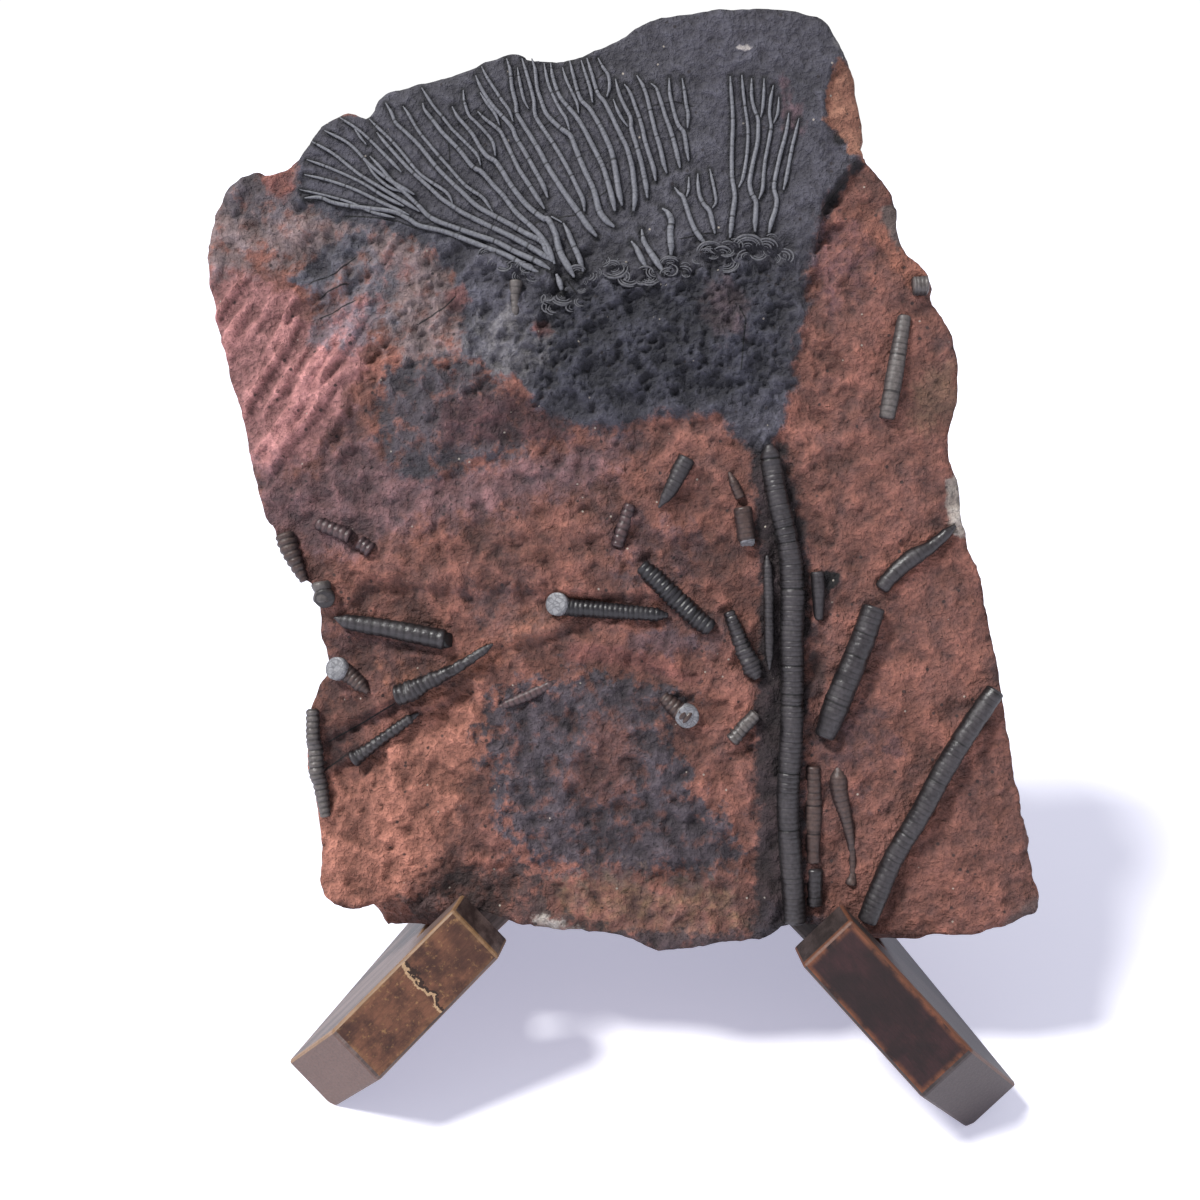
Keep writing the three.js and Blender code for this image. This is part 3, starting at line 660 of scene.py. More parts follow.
@dataclass
class RockSlab:
    """The matrix: one broken slab, its face in relief, its back and sides rough."""
    foot: float = 42.0                # v = 0, up the face from the feet
    front: float = 2.0                # the face, behind the front tips of the feet
    thickness: float = 22.0
    coarse: float = 2.55              # cell of the sheets before they are refined, mm
    rim_band: float = 5.0             # both sheets are fine within this of the outline
    crown_from: tuple[float, float, float] = (-84.0, 124.0, 41.0)   # finest: u, v, to u
    crown_foot_v: float = 140.0       # no arm lies below this
    rings: int = 11                   # rows of cells down the broken sides
    rest_half_spread: float = 53.7    # from the middle to each rest on the boards
    rest_width: float = 9.0           # half the length of a rest
    rest_fade: float = 4.5            # where it runs out into the broken edge
    rest_level: float = -1.0          # v of the rests
    face_share: float = 0.01          # a vertex nearer the face than this is on it
    far: float = 9.0                  # the distance written where nothing is near, mm
    face: RockFace = field(default_factory=RockFace)

    def rim(self) -> Route:
        """Chips the slab's outline.

        Returns:
            The outline with the small chips of its broken edge.
        """
        even = smooth_line([*SLAB_OUTLINE, SLAB_OUTLINE[0]], 1.3)[:-1]
        ahead = np.roll(even, -1, axis=0) - np.roll(even, 1, axis=0)
        ahead /= np.hypot(*ahead.T)[:, None]
        out = np.column_stack([-ahead[:, 1], ahead[:, 0]])
        chips = (0.7 * grain(even, *GRAINS["rim_chip"])
                 + 0.2 * grain(even, *GRAINS["small_rim_chip"]) - 0.15)
        return [tuple(corner) for corner in even + out * chips[:, None]]

    def sheet(self, rim: Route, fine_everywhere: bool) -> bmesh.types.BMesh:
        """A flat sheet of cells trimmed to the outline.

        Args:
            rim: the outline to trim to.
            fine_everywhere: True for the face, False for the back, fine at its rim only.

        Returns:
            The sheet, in the plane w = 0, with its rim exactly on the outline.
        """
        corners = np.array(SLAB_OUTLINE, float)
        low, high = corners.min(0) - 2 * self.coarse, corners.max(0) + 2 * self.coarse
        cells = np.ceil((high - low) / self.coarse).astype(int)
        span = cells * self.coarse
        bm = bmesh.new()
        place = Matrix.Translation((*(low + span / 2), 0)) @ Matrix.Diagonal((*span, 1, 1))
        bmesh.ops.create_grid(bm, x_segments=int(cells[0]), y_segments=int(cells[1]), size=0.5,
                              matrix=place)
        deep = self.inside(bm)
        outside = [f for f in bm.faces if all(deep[v.index] < -self.coarse for v in f.verts)]
        bmesh.ops.delete(bm, geom=outside, context="FACES")
        deep = self.inside(bm)
        edges = [e for e in bm.edges
                 if fine_everywhere or all(abs(deep[v.index]) < self.rim_band for v in e.verts)]
        bmesh.ops.subdivide_edges(bm, edges=edges, cuts=2, use_grid_fill=True)
        if fine_everywhere:
            self.refine_crown(bm)
        self.trim(bm, rim)
        return bm

    def inside(self, bm: bmesh.types.BMesh) -> np.ndarray:
        """How far each vertex lies inside the plain outline, by its index.

        Args:
            bm: the sheet.

        Returns:
            One distance for each vertex, mm.
        """
        bm.verts.index_update()
        points = np.array([v.co.xy for v in bm.verts])
        return outline_distance(points, SLAB_OUTLINE)[0]

    def refine_crown(self, bm: bmesh.types.BMesh) -> None:
        """Halves the cells under the crown, clear of the rim.

        Args:
            bm: the sheet.
        """
        deep = self.inside(bm)
        left, low, right = self.crown_from
        edges = [e for e in bm.edges if all(
            left < v.co.x < right and v.co.y > low and deep[v.index] > 2.2 for v in e.verts)]
        bmesh.ops.subdivide_edges(bm, edges=edges, cuts=1, use_grid_fill=True)

    def trim(self, bm: bmesh.types.BMesh, rim: Route) -> None:
        """Cuts the sheet to the rim and pulls its edge onto it.

        Args:
            bm: the sheet.
            rim: the outline.
        """
        cell = self.coarse / 3
        deep = self.inside(bm)
        close = [v for v in bm.verts if abs(deep[v.index]) < 3 * cell]
        points = np.array([v.co.xy for v in close])
        away, near = outline_distance(points, rim)
        kept = {v: deep[v.index] for v in bm.verts}
        target = {}
        for vert, distance, place in zip(close, away, near):
            kept[vert] = float(distance)
            target[vert] = place
            if abs(distance) < 0.45 * cell:
                vert.co.x, vert.co.y = place
                kept[vert] = 0.0
        cut = [f for f in bm.faces if any(kept[v] < -0.01 for v in f.verts)]
        bmesh.ops.delete(bm, geom=cut, context="FACES")
        for _ in range(6):
            loose = {f for v in bm.verts
                     if sum(e.is_boundary for e in v.link_edges) > 2 for f in v.link_faces}
            loose |= {f for f in bm.faces if sum(e.is_boundary for e in f.edges) > 2}
            if not loose:
                break
            bmesh.ops.delete(bm, geom=list(loose), context="FACES")
        edge = [v for v in bm.verts if v.is_boundary]
        for vert in edge:
            if vert in target:
                vert.co.x, vert.co.y = target[vert]
        inner = [v for v in bm.verts if not v.is_boundary and kept[v] < 2.2 * cell]
        for _ in range(3):
            bmesh.ops.smooth_vert(bm, verts=inner, factor=0.5, use_axis_x=True, use_axis_y=True)
        bmesh.ops.triangulate(bm, faces=[f for f in bm.faces if len(f.verts) > 4])

    def drop(self, points: np.ndarray, depth: np.ndarray) -> np.ndarray:
        """How far the lower edge hangs down onto its two rests.

        Args:
            points: each vertex's (u, v).
            depth: how far it lies behind the face's plane, mm.

        Returns:
            The fall of each vertex along v, mm.
        """
        off = np.abs(np.abs(points[:, 0]) - self.rest_half_spread)
        near_rest = np.clip((self.rest_width + self.rest_fade - off) / self.rest_fade, 0, 1)
        fall = np.maximum(0, points[:, 1] - self.rest_level) * near_rest
        return np.where(points[:, 1] < 12, fall * np.clip(depth / 6, 0, 1), 0)

    def closed_shell(self) -> bmesh.types.BMesh:
        """The face and the back joined by the rows of the broken sides, still flat.

        Returns:
            A closed mesh in which w runs from 0 at the face to -1 at the back.
        """
        rim = self.rim()
        bm = self.sheet(rim, True)
        rows = [e for e in bm.edges if e.is_boundary]
        for ring in range(1, self.rings + 1):
            made = bmesh.ops.extrude_edge_only(bm, edges=rows)["geom"]
            fresh = {g for g in made if isinstance(g, bmesh.types.BMVert)}
            for vert in fresh:
                vert.co.z = -ring / self.rings
            rows = [g for g in made if isinstance(g, bmesh.types.BMEdge)
                    and all(v in fresh for v in g.verts)]
        back = self.sheet(rim, False)
        for vert in back.verts:
            vert.co.z = -1
        rest = bpy.data.meshes.new("back_sheet")
        back.to_mesh(rest)
        back.free()
        bm.from_mesh(rest)
        bpy.data.meshes.remove(rest)
        bmesh.ops.remove_doubles(bm, verts=[v for v in bm.verts if v.co.z < -0.999], dist=0.01)
        return bm

    def build(self, fossils: list[Route], matrix: Matrix) -> bpy.types.Object:
        """Makes the slab.

        Args:
            fossils: every arm's line as (u, v, width), beside which the rock gets painted shade,
                partly dirt.
            matrix: slab coordinates to the frame.

        Returns:
            The finished piece.
        """
        bm = self.closed_shell()
        bm.verts.index_update()
        flat = np.array([v.co for v in bm.verts])
        points, share = flat[:, :2], -flat[:, 2]
        deep, _ = outline_distance(points, SLAB_OUTLINE)
        deep = np.maximum(deep, 0)
        chip = np.clip(0.7 + 0.9 * grain(points, *GRAINS["arris_chip"]), 0.15, 2.2)
        face = self.face.full(points) - chip * np.exp(-deep / 1.3)
        back = (-self.thickness + 0.5 + 0.9 * np.abs(grain(points, *GRAINS["back_lump"]))
                + 0.3 * grain(points, *GRAINS["back_grit"]) + chip * np.exp(-deep / 1.8))
        back = np.maximum(back, -self.thickness)
        level = face * (1 - share) + back * share
        solid = np.column_stack([points, level])
        is_side = (share > 1e-4) & (share < 1 - 1e-4)
        slope = np.column_stack([
            outline_distance(points + step, SLAB_OUTLINE)[0]
            - outline_distance(points - step, SLAB_OUTLINE)[0]
            for step in np.array([(0.5, 0), (0, 0.5)])])
        length = np.maximum(np.hypot(*slope.T), 0.1)
        out = -slope / length[:, None]
        beds = grain(np.column_stack([points / 26, level / 1.9]), 1, 2, 5.5)
        rough = (0.9 * grain(solid, *GRAINS["side_lump"])
                 + 0.5 * grain(solid, *GRAINS["side_grit"]) + 1.1 * np.tanh(2.5 * beds))
        bulge = np.sin(np.pi * share) ** 0.5 * rough * is_side
        near_rest = np.clip(1 - (points[:, 1] - 2) / 8, 0, 1)
        moved = points + out * (bulge * (1 - 0.8 * near_rest))[:, None]
        moved[:, 1] -= self.drop(points, -level)
        for vert, place, w in zip(bm.verts, moved, level):
            vert.co = (*place, w)
        self.mark(bm, points, share, fossils)
        return finish_piece(bm, "rock_slab_matrix", [RockFinish().material()],
                            ["rock_slab"], matrix)

    def mark(self, bm: bmesh.types.BMesh, points: np.ndarray, share: np.ndarray,
             fossils: list[Route]) -> None:
        """Writes what the rock's finish reads: the distances into each zone, crack and painted
        shadow line.

        Args:
            bm: the slab.
            points: each vertex's (u, v) before the sides were roughened.
            share: how far each vertex lies from the face to the back, 0 to 1.
            fossils: every arm's line as (u, v, width).
        """
        on_face = share < self.face_share
        # The finish reads the relief only to paint shade in its hollows and light on its crests.
        relief = self.face.full(points) - self.face.broad(points)
        marks = {"depth": share, "relief": np.where(on_face, relief, 0)}
        for zone in ZONES:
            marks["zone_" + zone.name] = np.clip(outline_distance(points, zone.outline)[0],
                                                 -20, 20)
        crack_and_shadow_near, crack_and_shadow_side, beside = np.full((3, len(points)), self.far)
        for crack in CRACKS_AND_SHADOW_LINES:
            away, side = line_distance(points, crack)
            nearer = away < crack_and_shadow_near
            crack_and_shadow_near[nearer], crack_and_shadow_side[nearer] = away[nearer], side[nearer]
        crack_and_shadow_near[~on_face] = self.far
        marks["crack_and_shadow_near"], marks["crack_and_shadow_side"] = crack_and_shadow_near, crack_and_shadow_side
        # Distance beside the arms, where the finish paints shade, partly as dirt.
        region = np.flatnonzero((points[:, 1] > self.crown_foot_v) & on_face)
        for line in fossils:
            away, _ = line_distance(points[region], line)
            width = float(np.mean([p[2] for p in line]))
            beside[region] = np.minimum(beside[region], away - width / 2)
        marks["beside_arm"] = beside
        for name, values in marks.items():
            layer = bm.verts.layers.float.new(name)
            for vert, value in zip(bm.verts, values):
                vert[layer] = float(value)


@dataclass(frozen=True)
class RockFinish:
    """Iron-stained siltstone, split and air-scribed: matt, gritty, dull red-brown."""
    light: str = "7c5148"
    dark: str = "533b39"
    rust: str = "885644"
    # painted shade beside the arms, partly dirt
    near_black: str = "17171b"
    crack_and_shadow_black: str = "101013"
    crystal_and_glint: str = "a89f94"
    pit: str = "241e20"
    roughness: float = 0.88
    ior: float = 1.5
    rust_share: float = 0.35
    # What each noise gives the rock: its size in mm and its detail. The grit is silt and
    # sand, drawn coarse enough to show.
    noises: tuple = (("grit", 1.0, 3.0), ("lumps", 3.4, 4.0), ("patches", 11.0, 5.0),
                     ("edge", 3.2, 6.0))
    # Painted shade in the pits and hollows and painted light on the crests, partly grime,
    # following the bump noises and the relief: from what, between which values, by how much.
    painted_relief_shade: tuple = (("grit", 0.25, 0.75, 0.68, 1.36), ("lumps", 0.3, 0.7, 0.82, 1.14),
                      ("relief", -0.7, 0.6, 0.62, 1.4))
    # How deep each noise roughens the surface, mm.
    bumps: tuple = (("grit", 0.9), ("lumps", 2.0))

    def material(self) -> bpy.types.Material:
        """Makes the rock's material.

        Returns:
            The material, with every zone, crack and speck.
        """
        material, tree, shader, places = bare_material(
            "split_iron_stained_siltstone", self.roughness, self.ior)
        values = {
            name: add(tree, NOISE, {}, {"Vector": places, "Scale": 1 / size, "Detail": detail,
                                        "Roughness": 0.6}).outputs["Fac"]
            for name, size, detail in self.noises
        }
        for mark in ("depth", "relief", "beside_arm", "crack_and_shadow_near", "crack_and_shadow_side"):
            values[mark] = add(tree, ATTRIBUTE, {"attribute_name": mark}, {}).outputs["Fac"]
        patch, lump = (
            add(tree, RAMP, {}, {"Value": values[name], "From Min": low,
                                 "From Max": high}).outputs[0]
            for name, low, high in (("patches", 0.36, 0.64), ("lumps", 0.33, 0.67)))
        base = add(tree, MIX, RGBA, {
            "Factor": patch, BELOW: linear(self.dark), ABOVE: linear(self.light)})
        rust = add(tree, MATH, TIMES, {0: lump, 1: self.rust_share})
        colour = add(tree, MIX, RGBA, {
            "Factor": rust.outputs[0], BELOW: base.outputs[2],
            ABOVE: linear(self.rust)}).outputs[2]
        values["lump"] = lump
        values["on_face"] = add(tree, RAMP, SMOOTH, {
            "Value": values["depth"], "From Min": 0.45, "From Max": 0.1}).outputs[0]
        values["stray"] = add(tree, MATH, {"operation": "SUBTRACT"}, {
            0: values["edge"], 1: 0.5}).outputs[0]
        for zone in ZONES:
            colour = self.zone(tree, zone, colour, values)
        # Painted shade, partly dirt, along the rock beside the arms' edges.
        colour = stain(tree, colour, values["beside_arm"], 0.9, -0.1, self.near_black, 0.85)
        colour = self.crack(tree, colour, values)
        # Painted shade in pits and hollows and painted light on crests, from the bump noises and
        # the relief.
        for name, low, high, darkest, lightest in self.painted_relief_shade:
            shade = add(tree, RAMP, {}, {
                "Value": values[name], "From Min": low, "From Max": high,
                "To Min": darkest, "To Max": lightest})
            colour = add(tree, VECTOR, SCALED, {0: colour, "Scale": shade.outputs[0]}).outputs[0]
        colour = self.specks(tree, colour, places)
        tree.links.new(colour, shader.inputs["Base Color"])
        normal = {}
        for name, depth in self.bumps:
            bump = add(tree, BUMP, {}, {
                "Height": values[name], "Distance": depth * MM, "Strength": 1.0, **normal})
            normal = {"Normal": bump.outputs[0]}
        tree.links.new(bump.outputs[0], shader.inputs["Normal"])
        return material

    def zone(self, tree: bpy.types.NodeTree, zone: Zone, colour: bpy.types.NodeSocket,
             values: dict[str, bpy.types.NodeSocket]) -> bpy.types.NodeSocket:
        """Lays one zone over the colours so far.

        Args:
            tree: the material's node tree.
            zone: the zone.
            colour: the colour below it.
            values: the rock's shared noises and marks.

        Returns:
            The colour with the zone on it.
        """
        deep = add(tree, ATTRIBUTE, {"attribute_name": "zone_" + zone.name}, {})
        edge = add(tree, MATH, TIMES_PLUS, {
            0: values["stray"], 1: 4 * zone.wander, 2: deep.outputs["Fac"]})
        mask = add(tree, RAMP, SMOOTH, {
            "Value": edge.outputs[0], "From Min": -zone.feather, "From Max": zone.feather,
            "To Max": zone.strength})
        weight = add(tree, MATH, TIMES, {0: mask.outputs[0], 1: values["on_face"]})
        if zone.mottle:
            holes = add(tree, RAMP, SMOOTH, {
                "Value": values["edge"], "From Min": 0.22 + zone.mottle * 0.5,
                "From Max": 0.48 + zone.mottle * 0.55, "To Min": 0.15})
            weight = add(tree, MATH, TIMES, {0: weight.outputs[0], 1: holes.outputs[0]})
        light, dark = zone.colours
        shades = add(tree, MIX, RGBA, {
            "Factor": values["lump"], BELOW: linear(dark), ABOVE: linear(light)})
        return add(tree, MIX, RGBA, {
            "Factor": weight.outputs[0], BELOW: colour, ABOVE: shades.outputs[2]}).outputs[2]

    def crack(self, tree: bpy.types.NodeTree, colour: bpy.types.NodeSocket,
              values: dict[str, bpy.types.NodeSocket]) -> bpy.types.NodeSocket:
        """Hairline cracks, and two painted shadow lines along ledges: dark where the side distance
        passes through nothing.

        Args:
            tree: the material's node tree.
            colour: the colour below the cracks.
            values: the rock's shared noises and marks.

        Returns:
            The colour with the cracks in it.
        """
        size = add(tree, MATH, {"operation": "ABSOLUTE"}, {0: values["crack_and_shadow_side"]})
        line = add(tree, RAMP, SMOOTH, {
            "Value": size.outputs[0], "From Min": 0.26, "From Max": 0.1, "To Max": 0.92})
        close = add(tree, RAMP, {}, {
            "Value": values["crack_and_shadow_near"], "From Min": 0.8, "From Max": 0.6})
        mask = add(tree, MATH, TIMES, {0: line.outputs[0], 1: close.outputs[0]})
        return add(tree, MIX, RGBA, {
            "Factor": mask.outputs[0], BELOW: colour,
            ABOVE: linear(self.crack_and_shadow_black)}).outputs[2]

    def specks(self, tree: bpy.types.NodeTree, colour: bpy.types.NodeSocket,
               places: bpy.types.NodeSocket) -> bpy.types.NodeSocket:
        """Scattered pale crystals, partly painted glints, and dust, and dark pits.

        Args:
            tree: the material's node tree.
            colour: the colour below the specks.
            places: the object's coordinates in mm.

        Returns:
            The colour with the specks on it.
        """
        # The pale specks are partly crystals, partly painted glints.
        for size, chance, reach, shade in ((1.3, 0.985, 0.24, self.crystal_and_glint),
                                           (1.7, 0.93, 0.3, self.pit)):
            cells = add(tree, CELLS, {}, {"Vector": places, "Scale": 1 / size})
            pick = add(tree, "ShaderNodeSeparateColor", {}, {"Color": cells.outputs["Color"]})
            some = add(tree, MATH, {"operation": "GREATER_THAN"}, {
                0: pick.outputs[0], 1: chance})
            spot = add(tree, RAMP, {}, {
                "Value": cells.outputs["Distance"], "From Min": reach, "From Max": reach * 0.6,
                "To Max": 0.8})
            mask = add(tree, MATH, TIMES, {0: some.outputs[0], 1: spot.outputs[0]})
            colour = add(tree, MIX, RGBA, {
                "Factor": mask.outputs[0], BELOW: colour, ABOVE: linear(shade)}).outputs[2]
        return colour


# A stem's tint: crest, worn pale and lightened as painted light on its upper side; flank, darker
# as painted shade low where it meets the rock; and the grime between its rings.
STEM_TINTS = {
    "slate": ("3b373a", "161416", "070606"),
    "ash": ("5e5856", "353132", "191617"),
    "umber": ("4c3c38", "2a2122", "140f10"),
    "plum": ("544142", "31262a", "191315"),
    "jet": ("2b292d", "111013", "050506"),
}


@dataclass(frozen=True)
class FossilFinish:
    """Calcite of a stem or an arm, cleaned by scribing: worn pale and painted lighter on its upper
    side, painted darker low on its flanks where it meets the rock, grimy in its joints."""
    name: str
    crest: str
    flank: str
    near_black: str
    roughness: float = 0.42
    ior: float = 1.45
    grain: float = 0.7                    # scratches and worn spots, mm
    patch: float = 5.0                    # patches of wear, mm
    detail: float = 3.0
    patchiness: float = 0.9               # how far the patches shift the wear
    # where the crest colour takes over: partly wear, partly painted light on the upper side
    worn_and_lit: tuple[float, float] = (0.7, 1.6)
    groove: tuple[float, float, float] = (0.25, 0.95, 0.8)    # from, to and how much dirt
    spots: float = 0.28                   # how much the spots lighten and darken it
    scratch: float = 0.2                  # depth of the scratches, mm
    gloss: tuple[float, float] | None = (-0.12, 0.18)         # its uneven roughness

    def material(self) -> bpy.types.Material:
        """Makes the material.

        Returns:
            The material of one tint.
        """
        material, tree, shader, places = bare_material(self.name, self.roughness, self.ior)
        fine, broad = (
            add(tree, NOISE, {}, {"Vector": places, "Scale": 1 / size,
                                  "Detail": self.detail}).outputs["Fac"]
            for size in (self.grain, self.patch))
        up, joint = (add(tree, ATTRIBUTE, {"attribute_name": mark}, {}).outputs["Fac"]
                     for mark in ("crest", "joint"))
        # The crest colour rises with the up-facing side: partly wear, partly painted light on top,
        # leaving the flanks as painted shade.
        height = add(tree, MATH, TIMES_PLUS, {0: broad, 1: self.patchiness, 2: up})
        base = stain(tree, linear(self.flank), height.outputs[0], *self.worn_and_lit, self.crest)
        low, high, most = self.groove
        filled = add(tree, RAMP, {}, {
            "Value": joint, "From Min": low, "From Max": high, "To Max": most})
        ringed = add(tree, MIX, RGBA, {
            "Factor": filled.outputs[0], BELOW: base, ABOVE: linear(self.near_black)})
        spots = add(tree, RAMP, {}, {
            "Value": fine, "From Min": 0.3, "From Max": 0.7,
            "To Min": 1 - self.spots, "To Max": 1 + self.spots})
        colour = add(tree, VECTOR, SCALED, {0: ringed.outputs[2], "Scale": spots.outputs[0]})
        tree.links.new(colour.outputs[0], shader.inputs["Base Color"])
        if self.gloss:
            least, most = self.gloss
            gloss = add(tree, RAMP, {}, {
                "Value": broad, "From Min": 0.3, "From Max": 0.7,
                "To Min": self.roughness + least, "To Max": self.roughness + most})
            tree.links.new(gloss.outputs[0], shader.inputs["Roughness"])
        bump = add(tree, BUMP, {}, {
            "Height": fine, "Distance": self.scratch * MM, "Strength": 0.6})
        tree.links.new(bump.outputs[0], shader.inputs["Normal"])
        return material


# The arms are dull and grey with weathering, and the small plates below them hold dust.
ARM_FINISH = FossilFinish(
    "weathered_grey_calcite", "6b6c72", "414147", "1d1d20", 0.62, 1.5, 0.6, 6.0, 2.0, 0.8,
    (0.35, 1.35), (0.35, 1.1, 0.85), 0.25, 0.15, None)
PLATE_FINISH = replace(ARM_FINISH, name="dusty_grey_calcite", crest="56565b", flank="37373c")


@dataclass(frozen=True)
class CalciteFinish:
    """Freshly snapped calcite: pale grey cleavage with darker flaws."""
    pale: str = "828286"
    flaw: str = "45464b"
    roughness: float = 0.45
    ior: float = 1.56
    cleavage: float = 1.4      # from one cleavage crack to the next, mm
    cloud: float = 1.2         # mm

    def material(self) -> bpy.types.Material:
        """Makes the material.

        Returns:
            The material of the pale snapped ends.
        """
        material, tree, shader, places = bare_material(
            "snapped_calcite", self.roughness, self.ior)
        cells = add(tree, CELLS, {"feature": "DISTANCE_TO_EDGE"}, {
            "Vector": places, "Scale": 1 / self.cleavage})
        mist = add(tree, NOISE, {}, {"Vector": places, "Scale": 1 / self.cloud, "Detail": 4.0})
        flaw, cloudy = (
            add(tree, RAMP, {}, {"Value": source, "From Min": low, "From Max": high,
                                 "To Max": most}).outputs[0]
            for source, low, high, most in ((cells.outputs["Distance"], 0.1, 0.0, 0.8),
                                            (mist.outputs["Fac"], 0.45, 0.75, 0.7)))
        share = add(tree, MATH, {"operation": "MAXIMUM"}, {0: flaw, 1: cloudy})
        colour = add(tree, MIX, RGBA, {
            "Factor": share.outputs[0], BELOW: linear(self.pale), ABOVE: linear(self.flaw)})
        tree.links.new(colour.outputs[2], shader.inputs["Base Color"])
        bump = add(tree, BUMP, {}, {
            "Height": mist.outputs["Fac"], "Distance": 0.4 * MM, "Strength": 0.7})
        tree.links.new(bump.outputs[0], shader.inputs["Normal"])
        return material


@dataclass(frozen=True)
class WoodFinish:
    """Dark-stained hardwood, sawn and oiled: long streaks, mottled ends, worn arrises lightened
    also as painted highlight.
    """
    name: str
    hand: int                      # -1 for the left board, 1 for the right
    side: tuple[str, str]          # light and dark streaks of the long sides
    lip: tuple[str, str]           # light and dark of the mottled end grain
    # also the arrises' colour, where it is partly painted highlight
    worn_and_lit: str                      # bare wood along the lip's edges and in its flecks
    foot: str
    flecks: float                  # 0 hides the flecks, 1 lays them everywhere
    split: float                   # where a pale crack crosses the lip, mm; 0 for none
    rubbed: float                  # how bare the lip's edges are, 0 to 1
    roughness: float = 0.5
    ior: float = 1.48
    ring: float = 4.5              # from one growth ring to the next, mm
    thread: float = 0.5            # from one fibre to the next, mm
    split_light: str = "a98b6c"
    split_shade: str = "2c1a12"
    split_half: float = 0.28       # half width of the split, mm

    def material(self) -> bpy.types.Material:
        """Makes the material.

        Returns:
            The material of one board.
        """
        material, tree, shader, places = bare_material(
            f"dark_stained_hardwood_{self.name}", self.roughness, self.ior)
        upright = add(tree, MAPPING, {}, {"Vector": places, "Rotation": (LEAN, 0, 0)})
        turned = add(tree, MAPPING, {}, {
            "Vector": upright.outputs[0], "Rotation": (0, math.radians(45 * self.hand), 0)})
        values = {}
        for name, stretch, size, detail in (
                ("rings", (1.0, 0.45, 0.035), self.ring, 5.0),
                ("threads", (1.0, 0.7, 0.045), self.thread, 3.0),
                ("band", (1.0, 1.0, 0.6), 16.0, 2.0), ("mottle", (1.0, 1.0, 1.0), 5.0, 6.0),
                ("fleck", (1.0, 1.0, 1.0), 1.1, 4.0)):
            scaled = add(tree, MAPPING, {}, {"Vector": turned.outputs[0], "Scale": stretch})
            values[name] = add(tree, NOISE, {}, {
                "Vector": scaled.outputs[0], "Scale": 1 / size, "Detail": detail,
                "Roughness": 0.65}).outputs["Fac"]
        for mark in ("lip", "foot", "border", "arris"):
            values[mark] = add(tree, ATTRIBUTE, {"attribute_name": mark}, {}).outputs["Fac"]
        light, dark = self.side
        streaked = stain(tree, linear(dark), values["rings"], 0.4, 0.66, light)
        light, dark = self.lip
        end = stain(tree, linear(dark), values["mottle"], 0.36, 0.64, light)
        end = stain(tree, end, values["band"], 0.52, 0.6, dark, 0.75)
        end = stain(tree, end, values["fleck"], 0.62 - 0.1 * self.flecks, 0.72, self.worn_and_lit,
                    self.flecks)
        rub = self.rubbed
        for name, low, high in (("border", 0.25, 1.0), ("mottle", 0.35, 0.6)):
            bare = add(tree, RAMP, SMOOTH, {
                "Value": values[name], "From Min": low, "From Max": high})
            rub = add(tree, MATH, TIMES, {0: bare.outputs[0], 1: rub}).outputs[0]
        layers = [(rub, self.worn_and_lit)]
        if self.split:
            along = add(tree, VECTOR, {"operation": "DOT_PRODUCT"}, {
                0: places, 1: (0.707 * -self.hand, 0, 0.707)}).outputs["Value"]
            strayed = add(tree, MATH, TIMES_PLUS, {0: values["mottle"], 1: 6.0, 2: along})
            off = add(tree, MATH, {"operation": "SUBTRACT"}, {
                0: strayed.outputs[0], 1: self.split + 3.0})
            for shift, shade in ((0.5, self.split_shade), (0.0, self.split_light)):
                near = add(tree, MATH, {"operation": "COMPARE"}, {
                    0: off.outputs[0], 1: shift, 2: self.split_half})
                layers.append((near.outputs[0], shade))
        for share, shade in layers:
            end = add(tree, MIX, RGBA, {
                "Factor": share, BELOW: end, ABOVE: linear(shade)}).outputs[2]
        colour = add(tree, MIX, RGBA, {
            "Factor": values["lip"], BELOW: streaked, ABOVE: end}).outputs[2]
        # The arris faces are lightened toward the bare wood: partly wear, partly painted highlight
        # along the edges.
        for mark, most, shade in (("foot", 0.9, self.foot), ("arris", 0.6, self.worn_and_lit)):
            share = add(tree, MATH, TIMES, {0: values[mark], 1: most})
            colour = add(tree, MIX, RGBA, {
                "Factor": share.outputs[0], BELOW: colour, ABOVE: linear(shade)}).outputs[2]
        fine = add(tree, RAMP, {}, {
            "Value": values["threads"], "From Min": 0.3, "From Max": 0.7,
            "To Min": 0.78, "To Max": 1.22})
        toned = add(tree, VECTOR, SCALED, {0: colour, "Scale": fine.outputs[0]})
        tree.links.new(toned.outputs[0], shader.inputs["Base Color"])
        bump = add(tree, BUMP, {}, {
            "Height": values["threads"], "Distance": 0.2 * MM, "Strength": 0.4})
        tree.links.new(bump.outputs[0], shader.inputs["Normal"])
        return material


def floor_material() -> bpy.types.Material:
    """A white acrylic light table: it lifts the shadows to a pale lavender.

    Returns:
        The floor's material.
    """
    material, tree, shader, places = bare_material("backlit_white_acrylic", 0.9, 1.4)
    cloud = add(tree, NOISE, {}, {"Vector": places, "Scale": 1 / 40.0})
    colour = add(tree, MIX, RGBA, {
        "Factor": cloud.outputs["Fac"], 6: linear("e6e6ec"), 7: linear("e9e9ee")})
    tree.links.new(colour.outputs[2], shader.inputs["Base Color"])
    shader.inputs["Emission Color"].default_value = (0.78, 0.78, 1.0, 1.0)
    shader.inputs["Emission Strength"].default_value = 0.5
    return material


# ------------------------------------------------------------------ fossil bars

class Ends(Enum):
    """How a bar stops."""
    BLUNT = "snapped square"
    SUNK = "fading into the rock"


# A bar's two ends in the order of its route.
SNAPPED = (Ends.BLUNT, Ends.BLUNT)
RISING = (Ends.SUNK, Ends.BLUNT)
SINKING = (Ends.BLUNT, Ends.SUNK)
BURIED = (Ends.SUNK, Ends.SUNK)


